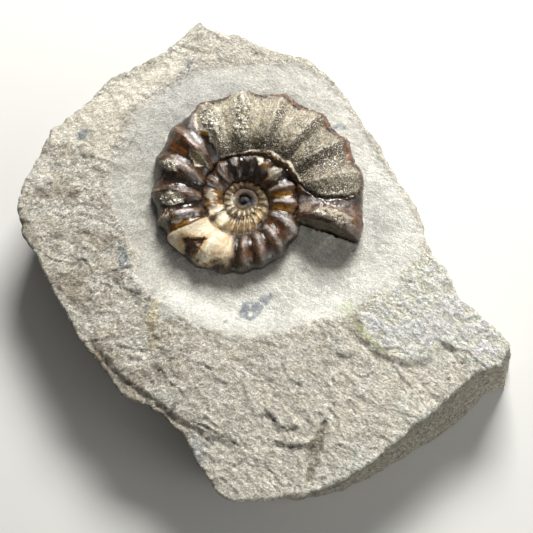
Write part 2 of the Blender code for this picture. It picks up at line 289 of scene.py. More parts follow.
def buildStudio():
    scene = bpy.context.scene
    camera = bpy.data.objects.new("camera", bpy.data.cameras.new("camera"))
    scene.collection.objects.link(camera)
    camera.data.lens = studio["lens"]
    camera.data.sensor_width = studio["sensor"]
    camera.data.clip_start, camera.data.clip_end = 0.01, 10.0
    pointAt(camera, studio["cameraSpot"], studio["lookAt"])
    scene.camera = camera
    scene.view_settings.view_transform = "Standard"
    for name in ("softbox", "fill", "side"):
        addLamp(name, studio[name])
    world = bpy.data.worlds.new("room")
    world.use_nodes = True
    sky = world.node_tree.nodes["Background"]
    sky.inputs["Color"].default_value = (*studio["skyColour"], 1.0)
    sky.inputs["Strength"].default_value = studio["skyStrength"]
    scene.world = world
    buildFloor()
    print("studio ready")


def buildFloor():
    half = studio["floorSize"] / 2 * mm
    material, tree, shader = freshMaterial("floor card")
    paper = grain(tree, millimetres(tree), studio["floorGrain"], detail=4.0)
    light = studio["floorTone"]
    dark = [channel * studio["floorShade"] for channel in light]
    tree.links.new(blend(tree, paper, (*dark, 1), (*light, 1)), shader.inputs["Base Color"])
    shader.inputs["Roughness"].default_value = studio["floorRoughness"]
    mesh = bpy.data.meshes.new("floor")
    corners = [(-half, -half, 0), (half, -half, 0), (half, half, 0), (-half, half, 0)]
    mesh.from_pydata(corners, [], [(0, 1, 2, 3)])
    mesh.materials.append(material)
    floor = bpy.data.objects.new("floor", mesh)
    bpy.context.scene.collection.objects.link(floor)


# The ammonite's coil, which both pieces are shaped to

coil = {
    "centre": (-4.9, 9.9), "level": 20.0,
    "innerShift": 0.7,  # how far the inner whorls' middle lies towards the top of the slab
    "mouth": -19.0, "whorls": 4,
    "venter": [  # outer edge of the last whorl, by direction
        (-19, 25), (0, 25.2), (25, 25.5), (50, 25.3), (75, 24.9), (95, 24.2), (115, 23.4), (135, 22),
        (155, 20.4), (180, 18.8), (205, 17.7), (230, 16.5), (260, 15.1), (290, 14), (320, 13.2),
        (341, 12.6),
    ],
    "seam": [  # inner edge of each whorl, by direction along the whole coil
        (-60, 11.4), (0, 11.2), (45, 11.2), (90, 10.6), (135, 9.4), (180, 8.5), (225, 8), (270, 7.2),
        (315, 6.1), (360, 5.1), (405, 4.7), (450, 4.5), (540, 4.2), (630, 3.7), (720, 3), (810, 2.6),
        (900, 2.35), (990, 2), (1080, 1.6), (1260, 1), (1440, 0.5),
    ],
    "venterOverSeam": 1.12, "thicknessRatio": 0.45, "seamOverlap": 0.97,
    "ribs": [
        -36, -14, 13, 31, 48.5, 70, 91, 113, 134, 153, 175, 194, 208, 234, 255, 271, 291, 311, 336, 359, 381,
        402, 421, 441, 465, 487, 512, 532, 555, 575, 597, 613, 623, 634, 646, 658, 673, 690,
    ],
    "innerRibStep": 19.0, "innerRibs": 59, "lastRib": 1075.0, "ribRatio": 0.20, "foldHeight": 1.32,
    "ribWidth": [(200, 0.23), (260, 0.29), (345, 0.29), (365, 0.22), (430, 0.24)],
    "ribLean": 6.0, "ribLeanFrom": 240.0, "ribLeanBy": 300.0,
}
innerRibs = [coil["ribs"][-1] + coil["innerRibStep"] * k for k in range(1, coil["innerRibs"] + 1)]
allRibs = np.array(coil["ribs"] + innerRibs, float)


def seamRadius(angle):
    return roundedAlong(coil["seam"], angle)


def venterRadius(angle):
    return np.where(angle <= coil["mouth"] + 360, roundedAlong(coil["venter"], angle),
                    coil["venterOverSeam"] * seamRadius(angle - 360))


def whorlSection(angle):
    # middle radius, half height and half thickness of the whorl's oval section
    outer, seam = venterRadius(angle), seamRadius(angle)
    inner = coil["seamOverlap"] * seam
    return (outer + inner) / 2, (outer - inner) / 2, coil["thicknessRatio"] * (outer - seam)


def turnOf(angle, radius):
    # place round the section, in degrees, where its surface has that radius
    middle, half, _ = whorlSection(angle)
    return np.degrees(np.arccos(np.clip((radius - middle) / half, -1.0, 1.0)))


def seamLevel(angle):
    middle, half, thick = whorlSection(angle + 360)
    return thick * np.sqrt(np.clip(1 - ((seamRadius(angle) - middle) / half) ** 2, 0, 1))


def ribStrength(across):
    # ribs are strongest halfway down the flank
    return 0.35 + 0.65 * np.sin(math.pi * (0.1 + 0.8 * across))


def betweenRibs(angle, across):
    # place between two rib crests, 0 at the one nearer the mouth, and the distance between them in degrees
    at = angle + coil["ribLean"] * smoothStep(angle, coil["ribLeanFrom"], coil["ribLeanBy"]) * across
    after = np.clip(np.searchsorted(allRibs, at), 1, len(allRibs) - 1)
    low, high = allRibs[after - 1], allRibs[after]
    return (at - low) / (high - low), high - low


def ribSwell(angle, across, fold=0.0):
    # rib height, 0 to 1; on the inside mould the ribs are lopsided folds, steep on the mouth's side
    share, _ = betweenRibs(angle, across)
    off = np.minimum(share, 1 - share) / along(coil["ribWidth"], angle)
    rounded = np.exp(-off * off)
    folded = np.where(share < 0.6, np.clip(1 - share / 0.6, 0, 1) ** 1.5, smoothStep(share, 0.6, 1.04))
    fading = 1 - smoothStep(angle, coil["lastRib"] - 60, coil["lastRib"])
    return (rounded + (coil["foldHeight"] * folded - rounded) * fold) * ribStrength(across) * fading


def coilMiddle(angle):
    shift = coil["innerShift"] * smoothStep(angle, 330.0, 700.0)
    return coil["centre"][0], coil["centre"][1] + shift


def coilSurface(angle, turn, pull, swell):
    # points of the shell; swell pushes them out, and pull ties them to the whorl beneath at the seam
    middle, half, thick = whorlSection(angle)
    c, s = np.cos(np.radians(turn)), np.sin(np.radians(turn))
    length = np.hypot(c / half, s / thick)
    out = swell * (1 - pull)
    radius = middle + half * c + c / half / length * out
    level = thick * s + s / thick / length * out
    own = thick * np.sin(np.radians(turnOf(angle, seamRadius(angle))))
    level = level + np.sign(turn) * pull * (seamLevel(angle) - own)
    x, y = coilMiddle(angle)
    ray = np.radians(angle)
    return np.stack([x + np.cos(ray) * radius, y + np.sin(ray) * radius, coil["level"] + level], axis=1)


def coilPlace(x, y):
    # direction from the mouth onwards, and distance from the coil's middle
    dx, dy = x - coil["centre"][0], y - coil["centre"][1]
    start = coil["mouth"]
    return start + (np.degrees(np.arctan2(dy, dx)) - start) % 360, np.hypot(dx, dy)


def onPlan(spots):
    # plan positions of (direction, radius) spots on the coil
    x, y = coil["centre"]
    return [(x + r * math.cos(math.radians(a)), y + r * math.sin(math.radians(a))) for a, r in spots]


# Slab of limestone

slab = {
    "rim": [  # corners of the face's broken edge, anticlockwise from the right-hand corner
        (51, -20), (49, -17.5), (46, -15), (43.5, -12.5), (40.5, -10.5), (39.5, -8), (38, -4), (35, -1),
        (33.5, 3), (33.5, 4.5), (31.5, 10.5), (29, 14), (26.5, 18.5), (24, 24), (21, 28), (18, 33.5),
        (15, 38), (11, 41.5), (8.5, 44), (3.5, 45), (-2, 47), (-6.5, 49.5), (-9.5, 49.5), (-12, 51),
        (-15, 52.5), (-17, 51), (-18.5, 49), (-23, 45), (-29, 42), (-34, 39.5), (-40.5, 32.5), (-47, 27.5),
        (-47.5, 26), (-51.5, 17), (-53, 14), (-53.5, 9.5), (-52, 3.5), (-49, -1), (-47, -5.5), (-42.5, -13),
        (-39, -19.5), (-33.5, -26), (-30, -31), (-26.5, -32.5), (-22, -34.5), (-20, -36.5), (-16.5, -40),
        (-14.5, -44.5), (-12, -48), (-10, -51), (-7.5, -52.5), (-2, -52.5), (7.5, -51.5), (16, -48),
        (21, -45), (26, -41), (32.5, -35.5), (37.5, -31.5), (43.5, -26), (46.5, -25), (49, -24.5),
    ],
    "pole": (-3.5, 1.0), "faceLevel": 20.6, "faceFall": 0.0011, "faceRoll": 0.35,
    "edgeCrumble": 0.22, "crumbleReach": 0.45, "rimHighlightLift": 0.16,  # the face is painted lighter along the rim, a painted highlight where the broken edge catches the light
    "hollowCentre": (-1.0, 9.6), "hollowRadii": (32.5, 28.4), "hollowFront": 2.1, "hollowBack": 0.5,
    "hollowSlope": 0.22,
    "sideSpread": [  # how far the side leans out below the rim, by direction
        (-180, -2.5), (-140, -3.5), (-115, -4), (-95, -3.5), (-85, -2), (-76, 0), (-62, 1.2), (-55, 2.6),
        (-46, 4), (-38, 5.1), (-30, 5), (-25, 3.5), (-20, 2.6), (-12, 0), (0, -1.5), (60, -2.5), (110, -2),
        (150, -3), (180, -2.5),
    ],
    "undersideChips": [  # direction, width in degrees, height, reach in
        (-155, 16, 4.0, 8.0), (-95, 14, 3.0, 6.0), (35, 18, 5.0, 9.0),
        (115, 20, 4.5, 9.0), (175, 12, 3.5, 6.0),
    ],
    "lowerEdgeHeight": 0.5, "lowerEdgeReach": 1.2,
    "grains": [  # size, seed, octaves, stretch and direction of the relief, on the left and on the right
        ((1.4, 5.0, 3, 1.5, -8), (1.4, 6.0, 3, 1.7, -34)), ((0.9, 8.0, 2, 1.3, 25), (0.9, 9.0, 2, 1.6, -30)),
        ((4.0, 12.0, 3, 1.3, 15), (3.6, 13.0, 3, 2.2, -36)),
    ],
    "flakes": [  # layers, size, depth and seed
        (2.0, 11.0, 0.42, 20.0), (2.6, 4.2, 0.20, 21.0), (2.6, 1.7, 0.11, 22.0),
    ],
    "ledges": [  # edge of the upper layer, drop on the right of it, reach of the drop, width of the break
        ([(-37, -18), (-34, -21), (-30, -26), (-23.5, -30.5), (-18.5, -34.5), (-16, -36), (-13.5, -37),
          (-11, -38.5), (-8.5, -39.5), (-5.5, -41.5)], 1.3, 6.0, 1.6),
        ([(-1, -33.5), (0.5, -35), (1.5, -36), (2.5, -37.5), (4.5, -37.5), (5.5, -37),
          (6.5, -38)], 0.6, 3.5, 0.6),
        ([(1, -40), (3.5, -41), (5.5, -41.5), (8, -41), (10.5, -41)], 0.7, 3.5, 0.6),
        ([(16.5, -15), (19.5, -18), (23.5, -21.5), (28, -23.5), (32.5, -23), (34.5, -21.5), (36, -19.5),
          (38.5, -20), (41.5, -22.5), (45, -24)], 1.1, 9.0, 1.6),
        ([(-46, 25), (-41.5, 23), (-38, 21.5), (-33.5, 20), (-30, 17)], 0.5, 8.0, 1.5),
        ([(-32, -5.5), (-30.5, -8), (-28.5, -9), (-25, -11)], 0.5, 4.0, 0.8),
        ([(-14.5, -36.5), (-12.5, -35.4), (-11, -36), (-9.5, -37.5)], 0.35, 1.5, 0.5),
        ([(10.5, -19.5), (13, -20), (16, -22), (19.5, -24), (22, -25)], 0.5, 5.0, 1.6),
        ([(-38.5, 17.5), (-36.5, 16), (-35, 18)], 0.35, 3.0, 0.6),
        ([(20.5, -15.5), (19, -18), (17.5, -19.5)], 0.4, 3.0, 0.8),
        ([(-23, -17), (-22.3, -15.4), (-20, -14.4), (-18, -14.5), (-16.5, -16), (-12.5, -17),
          (-8, -18.5)], 0.3, 3.0, 0.6),
    ],
    "cracks": [  # path, width, depth
        ([(-30.5, -4.5), (-30.5, -6.5), (-30, -8.5), (-28, -9), (-26.5, -10), (-25, -11), (-24.5, -10),
          (-23, -8.5)], 0.22, 0.35),
        ([(-25, -11), (-25.5, -12.5), (-25.5, -14)], 0.2, 0.3),
        ([(-16, -36), (-13.5, -37), (-11, -38.5), (-8.5, -39.5), (-6.5, -41), (-5.5, -41.5)], 0.3, 0.5),
        ([(-14, -36), (-12.5, -35.4), (-11, -36)], 0.2, 0.25),
        ([(-9.5, -37.5), (-8, -36.6), (-6.5, -36.5)], 0.2, 0.25),
        ([(-1, -33.5), (0.5, -35), (1.5, -36), (2.5, -37.5), (3.5, -37.6)], 0.28, 0.45),
        ([(3.5, -37.6), (4.5, -37.4), (5.5, -37), (6.5, -38)], 0.18, 0.25),
        ([(1, -40), (3.5, -41), (5.5, -41.5), (8, -41), (9.8, -41)], 0.3, 0.5),
        ([(-27.5, 28), (-28.5, 25.5), (-30, 23), (-31, 20.5)], 0.24, 0.28),
        ([(-24.5, -18.5), (-24.5, -20), (-23.5, -21.5)], 0.2, 0.2),
        ([(-21, -35), (-19.5, -34), (-18.5, -32.5)], 0.5, 0.5),
        ([(-17.5, -32), (-16, -33), (-13.5, -33)], 0.16, 0.2),
    ],
    "burrow": [(11.8, -36.5), (11, -38.5), (10.5, -40.5), (9.7, -42), (9.2, -44), (9, -46), (8.5, -48)],
    "burrowWidths": [(0, 1), (0.3, 1.7), (0.45, 2.7), (0.7, 1.9), (1, 1.3)], "burrowDepth": 0.4,
    "prepared": [  # ground that was cleaned round the ammonite
        (31, -2.5), (28.5, -4.5), (27.5, -7), (25, -9.5), (20.5, -10.5), (19.5, -12.5), (18, -14.5),
        (15.5, -15), (11, -15), (7, -16.5), (2.5, -18), (-1, -19), (-4.5, -19), (-8, -18.5), (-12.5, -17),
        (-16.5, -16), (-18.5, -14.5), (-22, -15.5), (-23, -11), (-24.5, -10), (-26.5, -8), (-28, -5.5),
        (-27, -2.5), (-29, 1), (-31, 5.5), (-33, 10), (-34, 14.5), (-33.5, 18), (-30.5, 23), (-31.5, 26),
        (-30, 29.5), (-27.5, 33), (-20.5, 37.5), (-17, 40), (-11.5, 41.5), (-6, 42.5), (0.5, 42.5), (7, 42),
        (12, 39), (16.5, 34.5), (20.5, 27.5), (24.5, 20.5), (28, 14.5), (30.5, 10), (32.5, 5.5),
        (33.5, 1.5), (33, -1.5),
    ],
    "paleGround": [  # its brightest part, a crescent below and to the right of the ammonite: paler ground, partly painted light on the rising slope
        (-20, -8), (-14, -9.5), (-9, -10), (-3.5, -10), (2.5, -8.5), (9, -7), (15.5, -4.5), (20, -2),
        (26, 2.5), (28, 9), (22.5, 16), (20, 22), (26, 16), (30.5, 9), (32.5, 3.5), (32.5, -1), (28.5, -4),
        (25.5, -8.5), (20, -10.5), (17.5, -13.5), (11, -14.5), (2.5, -17.5), (-4.5, -18.5), (-12.5, -16.5),
        (-17, -15), (-21, -14.5), (-22, -11),
    ],
    # painted shade: greyer, bluish ground on the slope above the ammonite, and a strip to its right
    "coolShadedGround": [[
        (-17.5, 42), (-13.5, 40.5), (-8, 39), (-1, 37.5), (-5.5, 32), (-11, 33), (-15.5, 31), (-19, 28),
        (-22, 24), (-24, 20), (-27.5, 20), (-27.5, 24.5), (-26, 29), (-25.5, 32.5), (-23.5, 36),
        (-20.5, 38.5),
    ], [
        (20.5, 16), (25, 15), (27, 9), (27.5, 4), (24, 1.5), (21, 4),
    ]],
    "bluePatches": [
        [(-6, -12.5), (-5, -11), (-2.5, -11), (-1, -10), (1, -9), (1.5, -10), (0, -11.5), (-1.5, -12.5),
         (-2, -14.5), (-3.5, -15.5), (-5.5, -14)],
        [(-9.5, -15.5), (-8, -14.9), (-8, -15.6), (-9, -16)], [(-6.7, -14.4), (-5.6, -14.4), (-6, -15.2)],
        [(-31.5, 2), (-30, 1), (-29, -1.5), (-28.5, -3.5), (-29.5, -5), (-30.5, -4), (-31.5, -1.5)],
        [(-41.5, 26), (-40.5, 27), (-38.5, 27.5), (-37, 26.5), (-37.5, 26), (-39, 25.5), (-40.5, 24.5)],
        [(-16, -38), (-13.5, -39), (-12, -41), (-13, -44.5), (-14.5, -45.5), (-15.5, -42)],
        [(-17.5, 43), (-16.3, 43), (-16.3, 41.5), (-17.5, 41.5)],
        [(14, 28), (16, 28), (17.5, 27.5), (16.5, 26.5), (15, 27)],
    ],
    "greenPatch": [(15.5, -11), (17.5, -11), (18.5, -12.5), (18.5, -15.5), (17, -15.5), (15, -13.5)],
    "greenLine": [(17.5, -14.5), (19.5, -17.5), (21.5, -19.5), (23.5, -21.3), (26, -22.8)],
    "creamSliver": [
        (-23, -10.5), (-24, -11.5), (-25, -13.5), (-25, -15.5), (-24.5, -18), (-24, -20.5), (-23.2, -22),
        (-23, -20), (-23.5, -17.5), (-23, -15), (-22.5, -13), (-22.5, -11),
    ],
    "creamGround": [
        (-47, 25.5), (-44.5, 28.5), (-39.5, 32.5), (-34.5, 37.5), (-28, 40.5), (-22.5, 44), (-18.5, 45.5),
        (-17.5, 43), (-21, 38.5), (-25.5, 36), (-29, 32.5), (-31, 29.5), (-32.5, 25.5), (-34.5, 21),
        (-38.5, 23), (-43.5, 24.5),
    ],
    "warmLobe": [
        (51, -20), (43.5, -12.5), (39.5, -8), (35, -1), (30, -3), (27.5, -7), (24, -10.5), (19, -15),
        (22, -20), (27, -23.5), (33, -23), (37, -20), (42, -23), (47, -24),
    ],
    "whiteBreaks": [
        [(17.5, -40.5), (19.5, -41), (22, -43.5), (21.5, -45.5), (18, -44.5), (16.5, -42)],
        [(10.5, -19.5), (14.5, -19.5), (17.5, -22), (20, -24), (17.5, -23.5), (14.5, -21.3)],
        [(-21, -29.5), (-19, -31), (-19, -33.5), (-21, -32)],
        [(-50, 11.5), (-48.5, 14), (-47, 15), (-47.5, 12.5)],
        [(-30, -5), (-28, -4.5), (-26, -6), (-24.5, -8.5), (-25.5, -10.5), (-28, -9), (-30, -8)],
    ],
    "rightLift": 0.30, "preparedLift": 0.30,
    "brownMargin": [
        (-38, -20), (-34, -22.5), (-30, -27), (-25, -31), (-19.5, -35.5), (-15.5, -38), (-16, -41),
        (-22, -35.5), (-29, -31.5), (-33.5, -27),
    ],
    "meshSpacing": 0.355, "hiddenSpacing": 1.2, "undersideSpacing": 1.5, "rimSpacing": 0.36,
    "bedOverlap": 0.25,  # how far the stone reaches into the shell
    "underShell": 2.2,  # how far inside the shell's edge the face's mesh turns coarse
    "sideRows": 20, "chipRows": 3, "rimGap": 0.45, "nibble": 0.55, "seed": 7, "undersideShare": 0.4,
    "roughTone": tone(205, 200, 187), "preparedTone": tone(184, 182, 174), "paleTone": tone(218, 218, 210),
    "coolShadeTone": tone(182, 182, 179), "blueTone": tone(128, 136, 142), "greenTone": tone(158, 170, 96),
    "sliverTone": tone(222, 210, 178), "creamTone": tone(220, 214, 198), "warmTone": tone(253, 246, 226),
    "whiteTone": tone(232, 229, 219), "brownTone": tone(160, 150, 134), "burrowTone": tone(112, 102, 76),
    "crackTone": tone(58, 52, 44), "sideTone": tone(196, 190, 174),
    "dustTone": tone(206, 190, 152), "grainTone": tone(112, 106, 94), "specular": 0.35,
}


def ledgeDrop(x, y):
    # how far the face drops behind the edges of its broken layers
    total = np.zeros(x.shape)
    for path, drop, reach, width in slab["ledges"]:
        away, side, share = pathDistance(x, y, path)
        ends = smoothStep(share, 0.0, 0.15) * smoothStep(1 - share, 0.0, 0.15)
        total += (side < 0) * drop * smoothStep(away, 0.0, width) * np.exp(-away / reach) * ends
    return total


def hollowDrop(x, y):
    dx = (x - slab["hollowCentre"][0]) / slab["hollowRadii"][0]
    dy = (y - slab["hollowCentre"][1]) / slab["hollowRadii"][1]
    out = np.hypot(dx, dy)
    front = smoothStep(-dy / np.maximum(out, 1e-6), -0.1, 0.9)
    depth = slab["hollowBack"] + (slab["hollowFront"] - slab["hollowBack"]) * front
    return depth * (1 - smoothStep(out, 1 - slab["hollowSlope"], 1.0))


def burrowShare(x, y):
    away, _, share = pathDistance(x, y, slab["burrow"])
    return np.exp(-(away / (0.55 * along(slab["burrowWidths"], share))) ** 4)


def bedLevel(x, y):
    # where the shell's lower side lies in the stone, a little inside the shell so that no gap shows
    angle, radius = coilPlace(x, y)
    middle, half, thick = whorlSection(angle)
    turn = np.degrees(np.arccos(np.clip((radius - middle) / half, 0.0, 1.0)))
    across = np.clip(1 - turn / turnOf(angle, seamRadius(angle)), 0, 1)
    swell = coil["ribRatio"] * thick * ribSwell(angle, across) - slab["bedOverlap"]
    share = np.clip((radius - middle) / (half + swell), 0.0, 1.0)
    level = coil["level"] - (thick + swell) * np.sqrt(1 - share ** 2)
    return np.where(radius < middle + half + swell, level, 99.0)


def brokenGrain(x, y):
    # hackly relief of broken limestone, in mm: flakes with their length along the bedding's grain
    right = smoothStep(x, -22.0, 6.0)
    coarse, keen, waves = (lumps(x, y, *onLeft) * (1 - right) + lumps(x, y, *onRight) * right
                           for onLeft, onRight in slab["grains"])
    relief = (0.20 - 0.07 * right) * coarse + 0.20 * (0.35 - np.abs(keen)) + 0.24 * (0.35 - np.abs(waves))
    for count, size, depth, seed in slab["flakes"]:
        layers = count * lumps(x, y, size, seed, 3, 1.4, -28)
        relief += depth * (np.floor(layers) + smoothStep(layers % 1.0, 0.0, 0.26) - layers)
    return relief


def faceLook(x, y):
    # height, colour and share of rough grain on the slab's upper face
    spotX = x + 0.7 * lumps(x, y, 2.2, 41.0)
    spotY = y + 0.7 * lumps(x, y, 2.2, 43.0)

    def bent(share):
        # places that follow the ragged edges in part
        return spotX * share + x * (1 - share), spotY * share + y * (1 - share)

    def area(key, soft):
        return patch(spotX, spotY, slab[key], soft)

    cream = area("creamGround", 1.2)
    soft = 0.7 + 2.4 * area("creamGround", 5.0)
    prepared = smoothStep(depthInside(spotX, spotY, slab["prepared"]) / soft, -0.8, 1.2)
    rough = 1 - 0.80 * prepared - 0.55 * cream * (1 - prepared)
    keen = 0.2 + 0.8 * rough
    relief = brokenGrain(x, y)
    burrow = burrowShare(*bent(0.4))
    height = slab["faceLevel"] - slab["faceFall"] * (x * x + y * y)
    height += slab["faceRoll"] * lumps(x, y, 9.0, 3.0) - hollowDrop(x, y) - ledgeDrop(*bent(0.5))
    crack = np.zeros(x.shape)
    gaping = np.clip(0.75 + 0.9 * lumps(x, y, 1.7, 47.0, 2), 0.1, 1.0)
    for path, width, depth in slab["cracks"]:
        share = line(*bent(0.35), path, width) * gaping
        height -= depth * share
        crack = np.maximum(crack, share * min(1.0, 1.8 * depth + 0.1))
    height += keen * relief * (1 - 0.4 * burrow) - slab["burrowDepth"] * burrow + 0.1 * rough

    tint = np.tile(slab["roughTone"], (len(x), 1))
    tint *= (1 + slab["rightLift"] * smoothStep(x - 0.4 * y, -30, 55))[:, None]

    def paint(toneName, share):
        nonlocal tint
        tint = mixed(tint, slab[toneName], share)

    paint("warmTone", 0.88 * area("warmLobe", 2.0))
    paint("creamTone", 0.7 * cream)
    paint("brownTone", 0.8 * area("brownMargin", 1.5))
    lighter = 1 + slab["preparedLift"] * smoothStep(x - 0.3 * y, -28, 22)
    tint = mixed(tint, np.array(slab["preparedTone"]) * lighter[:, None], prepared)
    # paler crescent: partly paler ground, partly painted light on the slope that faces the light
    paint("paleTone", 0.75 * area("paleGround", 3.0) * smoothStep(prepared, 0.3, 0.9))
    blot = smoothStep(lumps(x, y, 1.0, 57.0, 2), -0.5, -0.05)
    # the greyer ground is painted shade; the blue stains and white breaks are the stone's own
    for toneName, key, share, soft in (("coolShadeTone", "coolShadedGround", 0.5, 2.5),
                                       ("blueTone", "bluePatches", 0.92 * blot, 0.3),
                                       ("whiteTone", "whiteBreaks", 0.6, 0.9)):
        for outline in slab[key]:
            paint(toneName, share * patch(spotX, spotY, outline, soft))
    paint("greenTone", 0.30 * area("greenPatch", 1.2))
    paint("greenTone", 0.55 * line(spotX, spotY, slab["greenLine"], 0.5))
    paint("sliverTone", 0.85 * patch(*bent(0.4), slab["creamSliver"], 0.3))
    paint("burrowTone", 0.8 * burrow * np.clip(0.75 + 0.8 * lumps(x, y, 0.7, 51.0, 2), 0, 1))
    broad = lumps(x, y, 5.0, 63.0, 4, 1.5, 20)
    paint("brownTone", 0.75 * rough * (1 - smoothStep(x, -34, -8)) * smoothStep(broad, 0.05, 0.45))
    paint("whiteTone", 0.42 * rough * smoothStep(-broad, 0.10, 0.5))
    # painted light and shade: raised grain is painted lighter and hollows darker
    shade = (1.1 - 0.3 * smoothStep(x, -30, 0)) * keen * np.clip(relief, -0.45, 0.35)
    tint = tint * (1 + shade + 0.10 * lumps(x, y, 6.0, 61.0))[:, None]
    paint("crackTone", 0.85 * crack)
    return height, np.clip(tint, 0, 1), rough


def chipAt(degrees):
    # height and reach of the chipped lower edge, by direction
    height = np.full(degrees.shape, slab["lowerEdgeHeight"])
    reach = np.full(degrees.shape, slab["lowerEdgeReach"])
    for centre, width, high, inwards in slab["undersideChips"]:
        off = np.abs((degrees - centre + 180) % 360 - 180) / width
        share = 1 - smoothStep(off, 0.4, 1.0)
        height += (high - slab["lowerEdgeHeight"]) * share
        reach += (inwards - slab["lowerEdgeReach"]) * share
    return height, reach


def slabRim():
    # the broken edge by direction and distance from the pole, nibbled inwards
    spots = []
    corners = slab["rim"]
    for (ax, ay), (bx, by) in zip(corners, corners[1:] + corners[:1]):
        count = max(1, round(math.hypot(bx - ax, by - ay) / slab["rimSpacing"]))
        spots += [(ax + (bx - ax) * k / count, ay + (by - ay) * k / count) for k in range(count)]
    x, y = np.array(spots).T
    dx, dy = x - slab["pole"][0], y - slab["pole"][1]
    rays, radius = np.arctan2(dy, dx), np.hypot(dx, dy)
    order = np.argsort(rays)
    rays, radius, x, y = rays[order], radius[order], x[order], y[order]
    nibble = slab["nibble"] * np.clip(0.3 + 0.8 * lumps(x, y, 2.4, 71.0, 4), 0.0, 1.2)
    return rays, radius - nibble


def sidePoint(rays, radius, share, rimLevel, chipHeight, lean):
    # a ring of points down the slab's broken side, as distances from the pole and levels
    ringX, ringY = np.cos(rays) * radius, np.sin(rays) * radius
    bulge = 0.8 * lumps(ringX, ringY + 12 * share, 7.0, 11.0)
    drop, run = 20 * share, 50 * rays  # about how many mm down the side and along it
    hackle = 0.48 * lumps(run, drop, 2.6, 81.0, 4)
    hackle += 0.36 * (0.35 - np.abs(lumps(run, drop, 1.2, 82.0, 3, 1.6, -20)))
    beds = 0.25 * lumps(drop + 0.02 * run, 0.12 * run, 1.3, 83.0)
    free = smoothStep(share, 0.0, 0.06) * (1 - 0.6 * share)
    out = radius + lean * share + bulge * math.sin(math.pi * share) + (hackle + beds - 0.28) * free
    return out, rimLevel * (1 - share) + chipHeight * share


def ringPlan(rays, radius):
    # plan positions at distances from the slab's pole
    return slab["pole"][0] + np.cos(rays) * radius, slab["pole"][1] + np.sin(rays) * radius


def slabFace(rimX, rimY, low, high, draw):
    # the broken upper face, finer where the shell doesn't hide it
    outline = list(zip(rimX.tolist(), rimY.tolist()))[::2]
    found = []
    for spacing, hidden in ((slab["meshSpacing"], False), (slab["hiddenSpacing"], True)):
        x, y = hexagonalPoints(low, high, spacing, 0.22, draw)
        angle, away = coilPlace(x, y)
        keep = (away < venterRadius(angle) - slab["underShell"]) == hidden
        x, y = x[keep], y[keep]
        keep = depthInside(x, y, outline) > slab["rimGap"]
        found.append(np.stack([x[keep], y[keep]]))
    inner = np.concatenate(found, axis=1)
    faces = filledOutline(rimX, rimY, *inner)
    x, y = np.concatenate([np.stack([rimX, rimY]), inner], axis=1)
    height, tint, rough = faceLook(x, y)
    toRim = np.maximum(0.0, depthInside(x, y, outline))
    toRim[:len(rimX)] = 0.0
    crumble = slab["edgeCrumble"] * (1 + lumps(x, y, 3.0, 7.0))
    height -= crumble * np.clip(1 - toRim / slab["crumbleReach"], 0, 1) ** 2
    height = np.minimum(height, bedLevel(x, y))
    # painted highlight: the face is lighter within about a millimetre of the rim
    rimHighlight = np.clip(0.6 + lumps(x, y, 1.2, 45.0), 0, 1) * smoothStep(-toRim, -1.3, -0.2)
    tint *= (1 + slab["rimHighlightLift"] * rimHighlight)[:, None]
    print("slab face:", len(x), "points")
    return np.stack([x, y, height], axis=1), faces, tint, rough


def slabSides(rays, radius, rimX, rimY, rimLevel):
    # rings from the rim down the broken side, then in under the chipped lower edge
    degrees = np.degrees(rays)
    chipHeight, chipReach = chipAt(degrees)
    lean = roundedAlong(slab["sideSpread"], degrees, reach=8.0)
    rings = []
    for k in range(1, slab["sideRows"] + 1):
        share = k / slab["sideRows"]
        out, level = sidePoint(rays, radius, share, rimLevel, chipHeight, lean)
        # painted shade: the side is painted darker just under the rim and lighter further down
        rings.append((out, level, 0.78 + 0.34 * share))
    for k in range(1, slab["chipRows"] + 1):
        share = k / slab["chipRows"]
        ragged = 0.105 * math.sin(math.pi * share) * lumps(rimX, rimY + 3 * k, 1.8, 95.0)
        inwards = out + (lean + radius - chipReach - out) * share
        rings.append((inwards, chipHeight * (1 - share + ragged), 1.0))
    return rings


